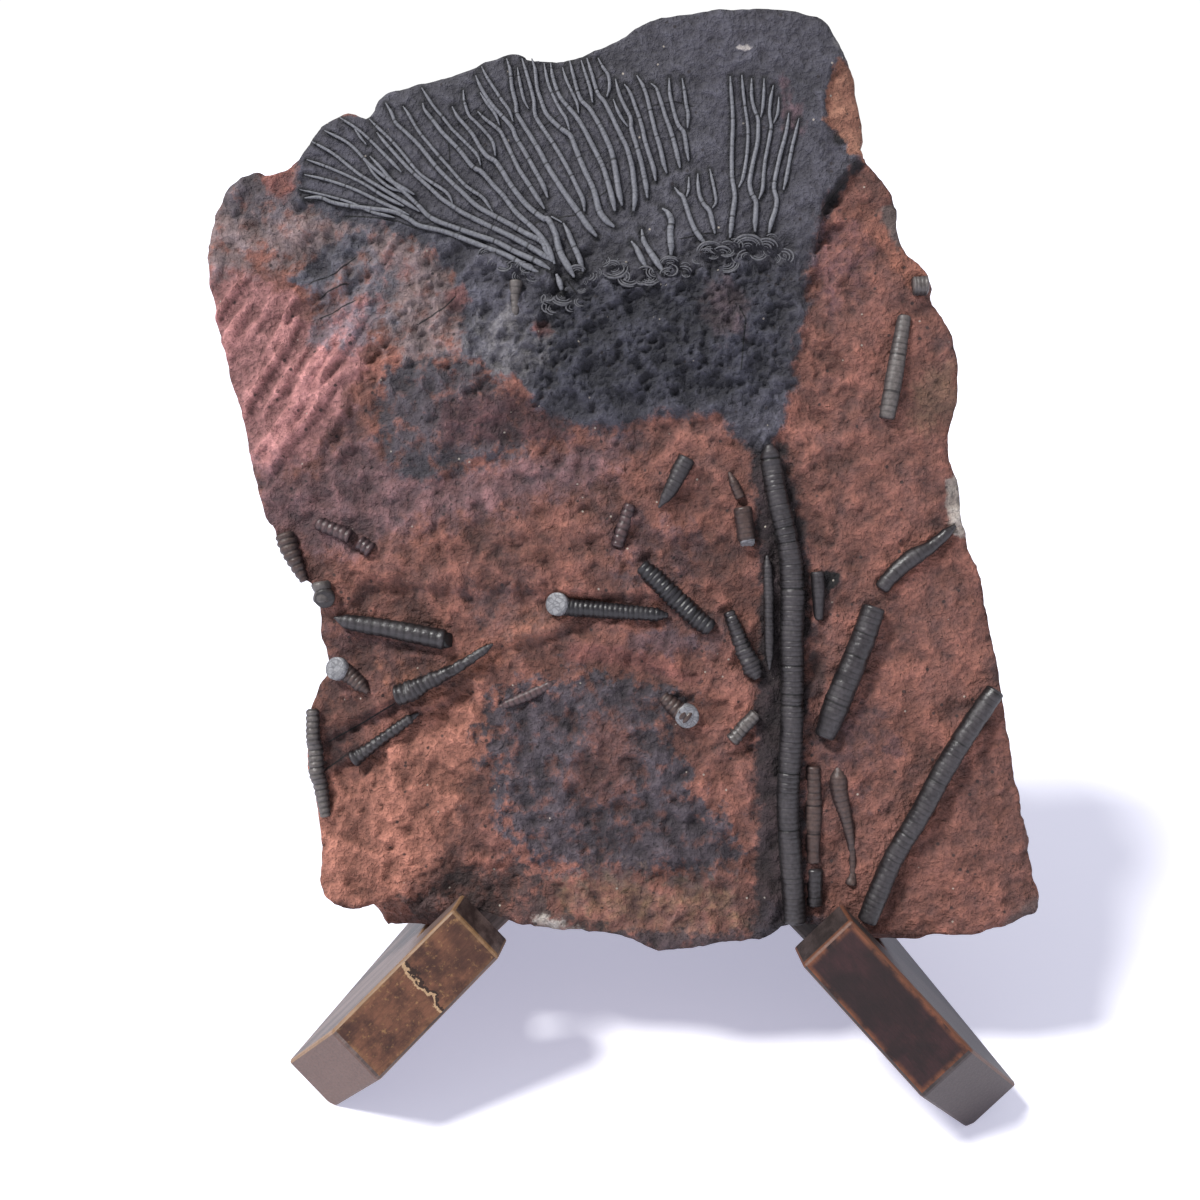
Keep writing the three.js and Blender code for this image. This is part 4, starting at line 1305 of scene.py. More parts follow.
@dataclass
class Bar:
    """A round bar that follows the rock's face: a stem, or one branch of an arm."""
    route: Route                 # (u, v, width)
    lift: float                  # its middle line over the face
    sides: int = 10
    step: float = 0.5            # between sections
    rise: float = 1.0            # height of its section over its half width
    pitch: float = 1.2           # from one ring to the next
    ring: float = 0.06           # depth of the joints between rings, over the radius
    crispness: float = 0.5       # low is a fine groove between flat rings, high is a bead
    crumple: float = 0.03        # unevenness, over the radius
    breaks: tuple[float, ...] = ()    # distances along it of open cracks across it
    gape: float = 0.22           # half width of those cracks
    ends: tuple[Ends, Ends] = SNAPPED
    seed: float = 0.0

    def grow(self, bm: bmesh.types.BMesh, face: RockFace) -> None:
        """Adds the bar to a bmesh, in slab coordinates, with what its finish reads.

        Args:
            bm: the bmesh, which has the float layers "joint" and "crest".
            face: the rock's face.
        """
        line = smooth_line(self.route, self.step)
        middle, width = line[:, :2], line[:, 2]
        run = np.concatenate([[0], np.cumsum(np.hypot(*np.diff(middle, axis=0).T))])
        level = face.broad(middle) + self.lift
        level = np.convolve(np.pad(level, 3, mode="edge"), np.ones(7) / 7, mode="valid")
        ahead = np.gradient(middle, axis=0)
        ahead /= np.hypot(*ahead.T)[:, None]
        wander = grain(np.column_stack([run, 0 * run]), 3 * self.pitch, 2, self.seed)
        beat = np.abs(np.sin(np.pi * (run / self.pitch + 0.22 * wander))) ** self.crispness
        joint = 1 - beat
        for place in self.breaks:
            joint = np.maximum(joint, 1.6 * np.exp(-((run - place) / self.gape) ** 2))
        radius = width / 2 * (1 - self.ring * joint)
        for end, distance in zip(self.ends, (run, run[-1] - run)):
            reach = 0.3 if end is Ends.BLUNT else 2.5
            short = np.clip(distance / reach, 0, 1)
            radius *= 0.8 + 0.2 * short if end is Ends.BLUNT else 0.35 + 0.65 * short
        sections = len(run) + 2
        radius = np.concatenate([[0], radius, [0]])
        middle = np.vstack([middle[0], middle, middle[-1]])
        ahead = np.vstack([ahead[0], ahead, ahead[-1]])
        level, joint, run = (np.concatenate([[a[0]], a, [a[-1]]]) for a in (level, joint, run))
        made = bmesh.ops.create_grid(bm, x_segments=sections - 1, y_segments=self.sides, size=0.5)
        joint_layer = bm.verts.layers.float["joint"]
        crest_layer = bm.verts.layers.float["crest"]
        for vert in made["verts"]:
            i = round((vert.co.x + 0.5) * (sections - 1))
            turn = math.tau * (round((vert.co.y + 0.5) * self.sides) % self.sides) / self.sides
            side, up = math.cos(turn), math.sin(turn)
            lump = noise.noise(Vector((run[i] / 1.7, 1.3 * side, 1.3 * up + self.seed)))
            reach = radius[i] * (1 + self.crumple * lump)
            vert[joint_layer] = float(joint[i])
            # how far it faces up out of the rock, which the finish paints lighter
            vert[crest_layer] = up
            vert.co = (
                middle[i, 0] - ahead[i, 1] * side * reach,
                middle[i, 1] + ahead[i, 0] * side * reach,
                level[i] + up * reach * self.rise,
            )
        bmesh.ops.remove_doubles(bm, verts=made["verts"], dist=1e-4)


def bar_bmesh() -> bmesh.types.BMesh:
    """An empty bmesh with the layers that a bar writes."""
    bm = bmesh.new()
    bm.verts.layers.float.new("joint")
    bm.verts.layers.float.new("crest")
    return bm


@dataclass(frozen=True)
class Disc:
    """A snapped end that faces out of the rock: a pale disc with a core."""
    at: tuple[float, float]
    width: float
    lift: float
    tilt: tuple[float, float]      # lean of its face along u and v, degrees
    pale: bool = True

    def grow(self, bm: bmesh.types.BMesh, face: RockFace, index: int) -> None:
        """Adds the disc to a bmesh.

        Args:
            bm: the bmesh.
            face: the rock's face.
            index: the material index of the disc's faces.
        """
        before = set(bm.verts)
        made = bmesh.ops.create_cone(bm, cap_ends=True, segments=28, radius1=self.width / 2 + 0.15,
                                     radius2=self.width / 2, depth=1.6)["verts"]
        top = [f for f in {f for v in made for f in v.link_faces}
               if all(v.co.z > 0.5 for v in f.verts)]
        for share, sink in ((0.1, -0.1), (0.12, 0.16), (0.2, -0.05)):
            bmesh.ops.inset_region(bm, faces=top, thickness=self.width * share)
            bmesh.ops.translate(bm, verts=list({v for f in top for v in f.verts}),
                                vec=(0, 0, sink))
        level = float(face.broad(np.array([self.at]))[0])
        every = [v for v in bm.verts if v not in before]
        turn = (Matrix.Translation((*self.at, level + self.lift))
                @ Matrix.Rotation(math.radians(self.tilt[0]), 4, "Y")
                @ Matrix.Rotation(math.radians(-self.tilt[1]), 4, "X"))
        bmesh.ops.transform(bm, verts=every, matrix=turn)
        rough = {v: noise.noise(Vector((v.co.x * 1.3, v.co.y * 1.3, 2.0))) for v in every}
        for vert, lump in rough.items():
            vert.co.z += 0.14 * lump
        for item in {f for v in every for f in v.link_faces}:
            item.material_index = index


@dataclass(frozen=True)
class StemPlan:
    """One stem piece: where it lies and how it is ringed."""
    name: str
    lift: float
    route: Route
    pitch: float = 1.2
    ring: float = 0.06
    crispness: float = 0.5
    crumple: float = 0.04
    breaks: tuple[float, ...] = ()
    ends: tuple[Ends, Ends] = SNAPPED
    discs: tuple[Disc, ...] = ()
    tint: str = "slate"


STEMS = [
    StemPlan("main_stem", 0.7, [(25, 113, 4.2), (25.5, 110, 4.8), (27.5, 100, 5), (30, 90, 5.2),
             (31, 80, 5.6), (31.1, 70, 5.6), (31.5, 50, 5.4), (30.9, 32, 5.2), (31.9, 18, 5.2),
             (33, 4.2, 5.2)], 1.15, 0.085, 0.4, 0.05, (3.2, 19, 22.5, 33, 50.5, 57, 59.5, 75, 88),
             RISING),
    StemPlan("thin_stem_left_of_main", 0.2, [(25.2, 88, 1.8), (25.7, 80, 2.4), (26, 70, 2.4),
             (26.2, 62, 1.6)], 1.0, 0.1, 0.5, 0.08, ends=BURIED),
    StemPlan("thin_stem_right_of_main", 0.0, [(36.6, 84.5, 3.2), (37, 79, 3), (37.2, 73.5, 2)],
             1.2, 0.03),
    StemPlan("parallel_stem_upper", -0.6, [(36.7, 40, 3.4), (37, 30, 4), (37, 22, 3.4),
             (37.2, 17.6, 3.4)], 1.5, 0.09, 0.4, 0.05, (9, 15.5), tint="umber"),
    StemPlan("parallel_stem_lower", -0.6, [(37.5, 16.4, 4), (37.6, 7.8, 3.8)], 1.3, 0.07),
    StemPlan("tapering_stem", -0.6, [(42.3, 40, 4), (42.8, 34, 4), (44.3, 28.5, 3.2),
             (45.8, 22, 2), (46.2, 16, 1.8), (45.8, 12.8, 3)], 1.3, 0.07, 0.5, 0.05,
             ends=RISING, tint="umber"),
    StemPlan("thick_stem", 1.1, [(49.4, 76.8, 5.2), (47.3, 70, 5.6), (43.6, 60, 6), (41, 53, 6),
             (38.8, 46.8, 4.5)], 1.3, 0.018, 0.5, 0.05, (6.5, 12, 23.5)),
    StemPlan("long_diagonal_stem", 1.1, [(77, 58.4, 4.4), (71.5, 50, 4.8), (65.7, 40, 4.8),
             (60.8, 30, 4.8), (55.3, 20, 4.6), (51.2, 10, 4.8), (49.2, 4.8, 4.4)], 1.25, 0.03,
             0.5, 0.05, (0.8, 14.5, 24.5, 38.5)),
    StemPlan("curved_stem", 0.3, [(67.3, 95.3, 2.2), (62, 90.5, 3), (58, 88, 4), (54, 84.5, 3.8),
             (51, 80.7, 3.2)], 1.2, 0.03, 0.5, 0.08, ends=RISING),
    StemPlan("upper_right_stem", 0.0, [(55, 142.3, 3), (53.9, 135, 3.6), (52.6, 127, 4),
             (51.3, 119, 3.6)], 1.3, 0.03, 0.5, 0.04, (9, 17.5), tint="ash"),
    StemPlan("edge_stub_stem", 0.4, [(60, 149, 4.4), (56.6, 148.9, 4.4)], 0.9, 0.1, tint="ash"),
    StemPlan("banded_stem", 0.7, [(-74, 72.3, 1.6), (-70.5, 71.3, 3.6), (-60, 69.7, 4.4),
             (-48, 67.6, 4.8)], 1.9, 0.055, 0.9, 0.03, ends=RISING,
             discs=(Disc((-47.7, 67.5), 3.4, 0.5, (62, 8), False),)),
    StemPlan("root_like_stem", 0.5, [(-59, 54.5, 5.2), (-56, 55.6, 5), (-52, 57.8, 4),
             (-44.5, 61.7, 2.6), (-37, 66.8, 1.8)], 1.25, 0.12, 0.7, 0.22,
             ends=SINKING),
    StemPlan("beaded_stem", 0.5, [(-69.5, 39.3, 4.4), (-67, 41, 3.2), (-58, 47.8, 2.6),
             (-54.2, 50.5, 1.8)], 1.45, 0.2, 0.9, 0.12, ends=SINKING),
    StemPlan("left_edge_stem_lower", 0.2, [(-78.9, 51, 3), (-78.6, 45, 3.4), (-77.6, 36, 3.8),
             (-75.6, 26, 2.6)], 1.35, 0.16, 0.9, 0.05, tint="ash"),
    StemPlan("white_ended_stem_left", 0.3, [(-72.5, 60.4, 4.6), (-70.5, 59.3, 4.2),
             (-65.6, 55.3, 3.4)], 1.1, 0.12, 0.8, 0.06, ends=SINKING,
             discs=(Disc((-72.9, 60.6), 5.2, 1.6, (-22, 12)),), tint="umber"),
    StemPlan("ribbed_stem_left", 0.2, [(-78.3, 94, 3.2), (-70.3, 91, 3.6)], 1.5, 0.22, 0.8, 0.1,
             tint="plum"),
    StemPlan("ribbed_stub_left", 0.2, [(-68.3, 89.8, 3.6), (-65.3, 87.8, 3.8)], 1.3, 0.24, 0.8,
             0.1, tint="plum"),
    StemPlan("left_edge_stem_upper", 0.2, [(-86, 91.6, 4.6), (-84.4, 87.5, 4.6),
             (-80.9, 80.6, 2.4)], 1.6, 0.2, 0.9, 0.08, tint="umber"),
    StemPlan("blocky_stem_end", 0.9, [(-77, 80.6, 4.2), (-76.2, 75.8, 4.6)], 2.2, 0.1, 0.6, 0.2,
             discs=(Disc((-75.9, 76.8), 4.4, 1.7, (12, -26), False),), tint="ash"),
    StemPlan("white_ended_stem_centre", 0.6, [(-22, 76, 4.8), (-19, 75.4, 4.2),
             (-10, 74.8, 3.8), (3, 74, 3)], 1.15, 0.12, 0.7, 0.08, ends=SINKING,
             discs=(Disc((-22.4, 76.2), 5.2, 1.7, (-24, 6)),), tint="jet"),
    StemPlan("ribbed_diagonal_stem", 0.8, [(-3.4, 85.3, 3.6), (0, 82.3, 4.6), (8, 74.8, 5),
             (12.8, 71, 4.2)], 1.25, 0.2, 0.9, 0.1, (16.5,), tint="jet"),
    StemPlan("ribbed_stem_centre", 0.5, [(16.7, 75.2, 2.8), (20.3, 66.5, 4), (22.2, 62.5, 4.6),
             (23.6, 60, 2.2)], 1.15, 0.16, 0.7, 0.2),
    StemPlan("short_stem_centre", 0.6, [(17.8, 45.6, 3.6), (23.5, 52, 3)], 1.2, 0.1, 0.6, 0.12,
             tint="ash"),
    StemPlan("ring_ended_stem", -0.1, [(8.2, 50.6, 5), (5.2, 52.8, 4.4), (2, 55.5, 3)], 1.2, 0.14,
             0.8, 0.1, discs=(Disc((7.6, 51.2), 5.3, 1.0, (10, -12)),), tint="umber"),
    StemPlan("faint_stem_lower_left", -0.5, [(-36, 52, 2), (-29, 55, 2.8), (-22, 58.6, 2)], 1.4,
             0.1, 0.9, 0.06, ends=BURIED, tint="plum"),
    StemPlan("pointed_stem", 0.1, [(6.7, 110, 4.2), (5, 106.5, 4), (3, 102.5, 3.2),
             (0.4, 98.5, 1.4)], 1.2, 0.03, 0.5, 0.05, ends=SINKING),
    StemPlan("faint_stem_upper", -0.4, [(-6, 99.3, 2.8), (-9, 89.4, 3.2)], 1.5, 0.1, 0.9, 0.12,
             tint="plum"),
    StemPlan("thin_stem_by_neck", 0.0, [(16.3, 106.8, 2), (19, 100.9, 2.4)], 1.1, 0.08, 0.6, 0.1,
             ends=RISING, tint="umber"),
    StemPlan("short_stem_by_neck", 0.3, [(19.4, 98.9, 4.2), (20.6, 91.3, 4.2)], 1.2, 0.05, 0.5,
             0.06, discs=(Disc((20.7, 91.2), 3.2, 0.5, (8, -66)),), tint="umber"),
    StemPlan("faint_stem_by_crown", -0.2, [(-32.8, 149.8, 3.2), (-33, 145.5, 2.4),
             (-32.7, 140.5, 2)], 1.6, 0.05, 0.5, 0.05, ends=SINKING, tint="ash"),
]


@dataclass
class Stems:
    """The stem pieces scattered over the slab."""
    face: RockFace
    matrix: Matrix
    sides: int = 20
    sections_per_ring: float = 5.0

    def build(self) -> list[bpy.types.Object]:
        """Makes every stem piece.

        Returns:
            The finished pieces.
        """
        tints = {tint: FossilFinish("iron_darkened_calcite_" + tint, *shades).material()
                 for tint, shades in STEM_TINTS.items()}
        calcite = CalciteFinish().material()
        made = []
        for number, plan in enumerate(STEMS):
            bm = bar_bmesh()
            bar = Bar(plan.route, plan.lift, self.sides, plan.pitch / self.sections_per_ring,
                      pitch=plan.pitch, ring=plan.ring, crispness=plan.crispness,
                      crumple=plan.crumple, breaks=plan.breaks, gape=0.2, ends=plan.ends,
                      seed=number * 2.3)
            bar.grow(bm, self.face)
            for disc in plan.discs:
                disc.grow(bm, self.face, 1 if disc.pale else 0)
            made.append(finish_piece(bm, "fossil_" + plan.name, [tints[plan.tint], calcite],
                                     [plan.name], self.matrix))
        return made


SLIM = 0.84        # an arm as cleaned is this much narrower than its plan


@dataclass(frozen=True)
class Branch:
    """One unforked run of an arm, from its root towards its tip."""
    root: float
    tip: float
    line: Route

    def route(self) -> Route:
        """The run's line as (u, v, width)."""
        last = len(self.line) - 1
        return [(u, v, SLIM * (self.root + (self.tip - self.root) * i / last))
                for i, (u, v) in enumerate(self.line)]


# Each arm with its side branches.
ARMS: dict[str, list[Branch]] = {
    "arm_01": [
        Branch(1.7, 1.0, [(-27.5, 151.5), (-31, 153.2), (-35, 155.4), (-40, 157.3), (-45, 159.2),
        (-50, 160.9), (-55, 162), (-57.5, 163.5), (-61, 165.1), (-66, 165.8), (-71, 166.4),
        (-75, 167.2), (-78, 168.3), (-81.5, 168.2)]),
    ],
    "arm_02": [
        Branch(1.8, 1.0, [(-25, 152.3), (-28.5, 154.2), (-33, 156.2), (-37.5, 158.5),
        (-42.5, 160.2), (-50, 162.7), (-53, 164.2), (-55, 166.2), (-58, 169), (-61, 171.6),
        (-64, 175), (-66.5, 177.6)]),
        Branch(1.0, 0.9, [(-59, 169.5), (-62, 170.6), (-65, 173), (-67.3, 176)]),
    ],
    "arm_03": [
        Branch(1.8, 1.0, [(-24.5, 154.1), (-27, 155.7), (-30, 157.5), (-34, 159.7), (-37, 161.1),
        (-40, 162.5), (-45, 164.9), (-47.3, 166.3), (-50, 168.1), (-52, 169.9), (-55, 172.5),
        (-58, 175.2), (-62.9, 180.5), (-65, 183)]),
        Branch(1.1, 0.9, [(-47.4, 166.8), (-48.3, 168.8), (-50, 170.3), (-54.5, 173.2),
        (-57, 175.8), (-60, 179.4), (-62.5, 182), (-65, 184.3), (-66.7, 186)]),
        Branch(1.0, 0.8, [(-67.3, 180.2), (-68.8, 182), (-70.3, 184.2)]),
    ],
    "arm_04": [
        Branch(1.8, 1.0, [(-25, 154.5), (-26, 156.5), (-27, 158.5), (-31, 160.6), (-34, 162.3),
        (-38, 164.4), (-42, 166.6), (-45, 169.3), (-48, 172), (-51.2, 175.2), (-55.2, 180),
        (-58, 182.7), (-60.5, 185), (-61.6, 187.3), (-63, 189.6)]),
        Branch(1.1, 1.0, [(-38.3, 165.2), (-40.5, 168.3), (-43, 170), (-45, 171.5),
        (-48.5, 175.3), (-50.5, 177.5), (-52.7, 180), (-55, 182.7), (-56.5, 185), (-58, 187.5),
        (-59, 188.8)]),
    ],
    "arm_05": [
        Branch(1.8, 1.1, [(-24, 153.5), (-25, 156), (-26, 158), (-27.5, 160), (-29.5, 162),
        (-33, 165.2), (-36, 169), (-38, 171), (-41, 174.3), (-43, 175.4), (-46, 179),
        (-48.3, 181.3), (-50, 183), (-52, 185.5), (-54, 188), (-54.5, 189.5)]),
        Branch(1.1, 0.9, [(-41.2, 175.8), (-42, 178), (-44.2, 180.3), (-46.5, 182.5), (-48, 184),
        (-50, 186.5), (-52, 188.8), (-54.8, 193)]),
    ],
    "arm_06": [
        Branch(2.2, 1.0, [(-19.5, 150.5), (-21, 153), (-22.5, 155.5), (-23.4, 158), (-24, 160.5),
        (-25.6, 163.5), (-27, 164), (-30.5, 166.8), (-34, 171), (-36.6, 175), (-38, 176.8),
        (-39.8, 177.8), (-41.5, 180), (-43, 182.5), (-44.5, 184.3), (-46.5, 186.5),
        (-47.8, 188.8)]),
        Branch(1.1, 0.9, [(-37.9, 178), (-38.5, 181), (-40.5, 183.5), (-42.5, 185.5), (-44, 187),
        (-45, 190), (-45.3, 192.5)]),
        Branch(1.2, 0.9, [(-25, 164.3), (-22.5, 163)]),
    ],
    "arm_07": [
        Branch(1.6, 1.0, [(-26.5, 166), (-28.5, 169), (-30.5, 172), (-32.5, 175), (-34.5, 179),
        (-36, 182), (-36.9, 183.5), (-38.5, 184.8), (-40.5, 186.3), (-42, 187.8)]),
        Branch(1.1, 0.9, [(-37, 184.8), (-38, 187.2), (-40, 189.8), (-41.5, 192)]),
    ],
    "arm_08": [
        Branch(1.6, 1.0, [(-25.8, 168.5), (-27, 171.5), (-29, 175), (-31, 178.5), (-33.2, 182),
        (-34, 184), (-35.5, 185.8), (-37, 187.4), (-38.5, 189), (-40, 191), (-41.5, 193.5),
        (-42.5, 195.8)]),
        Branch(1.1, 0.9, [(-33.9, 185.6), (-34.8, 188), (-36.5, 190.3), (-38, 192.5),
        (-40, 195.5), (-41.2, 197.8)]),
    ],
    "arm_09": [
        Branch(2.0, 1.0, [(-14.5, 159.8), (-16.5, 162), (-18.5, 164.8), (-20, 166.8),
        (-22.3, 170), (-25.6, 175), (-28, 179.3), (-30, 182.5), (-31.5, 184.8), (-33, 187.3),
        (-33.3, 189.5), (-34.2, 193), (-34.7, 197), (-35.5, 199.5)]),
        Branch(1.0, 0.9, [(-30.4, 188.4), (-31.5, 190.5), (-32.4, 194), (-33, 197.5)]),
    ],
    "arm_10": [
        Branch(1.5, 1.0, [(-17.4, 165.4), (-17.8, 168), (-19, 170.5), (-21.3, 175), (-24.3, 180),
        (-26.7, 183.5), (-28.8, 186.8), (-29.2, 190), (-29.8, 192.5), (-31, 196.5),
        (-32, 199.5)]),
    ],
    "arm_11": [
        Branch(2.0, 1.0, [(-10.5, 162), (-12.5, 163.4), (-14, 165.5), (-15, 169), (-15.7, 171),
        (-17.7, 175), (-19.8, 180), (-20.9, 182.4), (-23, 183.9), (-25, 185.7), (-26.5, 187.5),
        (-27.5, 190), (-28.5, 193), (-29, 197), (-29.8, 199.5)]),
        Branch(1.1, 0.9, [(-21, 183.4), (-21.8, 186), (-23, 187.8), (-24.5, 190.5), (-26, 194),
        (-27, 198.5)]),
    ],
    "arm_12": [
        Branch(1.8, 1.0, [(-10.5, 165.5), (-11.3, 169), (-12.2, 172), (-13.4, 175.5),
        (-16, 180.5), (-17.5, 183.3), (-19.4, 186.3), (-21.5, 188.7), (-23, 190.5), (-24, 192.5),
        (-25, 195.5), (-25.5, 198.5)]),
        Branch(1.0, 0.9, [(-19, 187.2), (-19.4, 189.5), (-20.5, 191.8), (-22, 195),
        (-22.8, 197.5)]),
    ],
    "arm_13": [
        Branch(1.9, 1.0, [(-8.9, 166.8), (-9.6, 169.5), (-10.6, 175), (-11.4, 178.5),
        (-12.4, 181), (-13.9, 184), (-15.4, 186.5), (-16.6, 188.3), (-18.2, 189.8),
        (-19.1, 191.5), (-20, 194.5), (-21.2, 199)]),
        Branch(1.1, 0.9, [(-15.9, 189.6), (-16.4, 192.5), (-17.4, 195.5), (-18.6, 199)]),
    ],
    "arm_14": [
        Branch(1.7, 1.0, [(-6.3, 165.5), (-6, 169), (-6.3, 172), (-6.8, 175.5), (-8, 179.5),
        (-9, 181.5), (-10.5, 184.5), (-12, 187.5), (-13.2, 189.7), (-14.5, 191.2), (-15.3, 193.2),
        (-16, 195.5), (-17.3, 199.5)]),
        Branch(1.1, 0.9, [(-12.7, 190.8), (-12.1, 193), (-12.4, 195.5), (-13.7, 197.5),
        (-14.8, 199.5)]),
    ],
    "arm_15": [
        Branch(1.6, 1.0, [(-3.2, 168.5), (-3.6, 171.5), (-4.5, 175.5), (-5.5, 179), (-6.5, 182),
        (-7.1, 184), (-7.2, 186), (-8.5, 188.5), (-9.5, 190.5), (-10.2, 192.5), (-10.8, 194.8)]),
        Branch(1.0, 0.9, [(-7.8, 184.2), (-9.2, 186), (-10.3, 188), (-11.2, 190.3)]),
    ],
    "arm_16": [
        Branch(1.5, 1.0, [(-1.4, 172.3), (-1.9, 175), (-2.9, 178), (-3.9, 181), (-4.6, 184),
        (-5.4, 186.5), (-6.2, 188.5), (-6.9, 190.5), (-7.9, 192.5), (-8.8, 193.6)]),
    ],
    "arm_17": [
        Branch(1.5, 1.0, [(1.1, 174), (0.4, 176), (-0.6, 180), (-1.6, 183), (-2.4, 186),
        (-3, 188.4), (-3.7, 191), (-4.6, 193.3), (-6, 195.6)]),
    ],
    "arm_18": [
        Branch(1.5, 1.0, [(4.1, 175.2), (3.4, 178), (2.6, 181), (1.6, 184), (0.6, 186.5),
        (-0.2, 189), (-0.9, 191), (-1.6, 192.8), (-2.8, 193.8)]),
    ],
    "arm_19": [
        Branch(1.4, 1.0, [(6, 176.8), (5.4, 180), (4.8, 183), (3.6, 184.5), (2.8, 186.5),
        (2.1, 189), (1.5, 191.5), (1.3, 195)]),
        Branch(1.2, 0.9, [(5.6, 184), (5.7, 187), (5.2, 189.3), (4.8, 192), (4.2, 195)]),
    ],
    "arm_20": [
        Branch(1.7, 1.1, [(10.5, 157.8), (9, 159.5), (7.6, 161.5), (6.5, 164), (5.5, 167),
        (4.8, 168.8), (3.9, 169.6), (2.9, 170.9)]),
        Branch(1.1, 1.0, [(5.6, 168.8), (6.1, 170.5), (6.1, 173.2)]),
    ],
    "arm_21": [
        Branch(1.6, 1.0, [(12.2, 160.5), (11.6, 163), (10.9, 165.5), (9.6, 167), (8.6, 169),
        (8.2, 171.5), (8.1, 174)]),
        Branch(1.1, 0.9, [(11.5, 166.2), (12.3, 167.6), (12, 169.8), (11.5, 172), (10.8, 175)]),
    ],
    "arm_22": [
        Branch(2.2, 1.6, [(2.3, 155.5), (2.3, 158), (2.1, 161), (2.3, 163.5), (1.4, 165.3),
        (0.2, 166.2)]),
    ],
    "arm_23": [
        Branch(2.2, 1.4, [(0.7, 151.8), (-0.8, 154), (-2.5, 156.5), (-3.8, 158.7),
        (-4.4, 161.5)]),
    ],
    "arm_24": [
        Branch(1.6, 1.0, [(15.6, 159.5), (15.8, 162), (16.1, 165), (16.5, 168.5), (16.3, 170.5),
        (15.9, 172.5), (15.7, 176), (15.7, 180), (15.8, 185), (15.6, 189), (15.3, 192),
        (15, 195.5)]),
        Branch(1.1, 0.9, [(17.3, 170.8), (18.2, 172.8), (18.8, 176), (19.2, 180), (19.2, 184),
        (18.6, 188), (18, 192), (17.6, 195.8)]),
    ],
    "arm_25": [
        Branch(1.6, 1.0, [(21.2, 160.8), (21.2, 163), (21.3, 166), (21.2, 167.8), (20.2, 169.7),
        (19.8, 172), (20.2, 175), (20.8, 178), (21.4, 181), (21.5, 184), (21.4, 186.2),
        (20.5, 188.5), (19.9, 191), (19.8, 195)]),
        Branch(1.2, 0.9, [(21.9, 168.2), (22.7, 170.5), (22.9, 173.5), (23.2, 177), (23.9, 181),
        (24.4, 184.5), (24, 187), (24.1, 190), (24.7, 193.5)]),
        Branch(1.0, 0.9, [(22, 186.5), (22.4, 188.5), (22.6, 191.5), (22.6, 195)]),
        Branch(1.0, 0.8, [(24.9, 185.2), (25.8, 187.5), (26, 191)]),
    ],
    "arm_26": [
        Branch(1.5, 1.0, [(24.3, 160.5), (24.8, 163), (25.7, 166), (25.9, 168.3), (25.3, 170.5),
        (25.5, 173), (26, 175.5), (26.6, 178.5), (27.4, 181.5), (28, 184.5), (28.3, 187.5)]),
        Branch(1.2, 0.9, [(27.4, 170.3), (28, 173), (28.6, 176.5), (29.2, 180), (29.9, 183),
        (30.6, 186.3)]),
    ],
    "arm_threads_left": [
        Branch(1.3, 0.8, [(-56.2, 169), (-61.5, 171.9), (-66.1, 175.3), (-71.2, 180.3),
        (-77, 183.4)]),
        Branch(1.3, 0.8, [(-55, 165.2), (-62.6, 169.7), (-68.9, 173.5), (-74.7, 178),
        (-80, 181)]),
        Branch(1.2, 0.7, [(-58.5, 166.3), (-63.1, 168.5), (-68.9, 171.9), (-75.6, 174.9),
        (-81.1, 176.9)]),
        Branch(1.2, 0.7, [(-57.3, 164.3), (-64.2, 167.4), (-70, 170.1), (-75.8, 172.1),
        (-81.6, 173.5)]),
        Branch(1.2, 0.7, [(-59.2, 174), (-63.2, 178), (-68.5, 183), (-73.6, 186.4)]),
        Branch(1.0, 0.6, [(-60.7, 163.8), (-66.1, 165.1), (-71.1, 167.2), (-76.9, 168.8),
        (-82.7, 170.1)]),
    ],
    "arm_root_left": [
        Branch(1.9, 1.4, [(-17.5, 151.8), (-18.5, 155), (-19.9, 158), (-21.1, 160.8),
        (-22.2, 162.8)]),
    ],
    "arm_root_outer": [
        Branch(2.8, 1.8, [(-22.3, 147.5), (-22.8, 149.3), (-23.6, 151.2)]),
    ],
    "arm_root_middle": [
        Branch(2.0, 1.4, [(-3, 152.4), (-4.3, 154.8), (-5.5, 157.2), (-6.7, 158.8)]),
    ],
}

# Curled stacks of small plates where the arms meet the cup: u, v, reach of the outermost
# curl, the way it opens in degrees, how many curls.
PLATE_STACKS = [
    (-21.8, 146.2, 2.6, 250, 5), (-24.6, 143.6, 1.7, 200, 3), (-10.5, 152.6, 2.6, 300, 5),
    (-6.8, 150.4, 2.4, 240, 4), (-13.4, 154.2, 1.6, 330, 3), (-2.6, 150.6, 2.2, 280, 4),
    (2.2, 153.2, 2.4, 100, 5), (5.2, 151.6, 1.6, 60, 3), (11.2, 156.2, 2.8, 120, 5),
    (14.8, 153.8, 2.6, 300, 5), (16.4, 157.6, 1.8, 40, 3), (19.6, 157.4, 3.0, 90, 5),
    (23.6, 157.2, 2.4, 60, 4), (27.4, 155.2, 2.0, 20, 3), (-17.6, 144.8, 1.6, 210, 3),
    (-30.4, 152.4, 1.2, 240, 3), (-35.6, 154.6, 1.1, 250, 3),
]


# Where loose plates lie along the top of the cup.
PLATE_RIM: Route = [(-38, 155), (-30, 151.5), (-23, 146), (-18, 149), (-11, 153), (-3, 150.5),
                    (5, 152.5), (13, 156), (20, 157.5), (28, 155)]


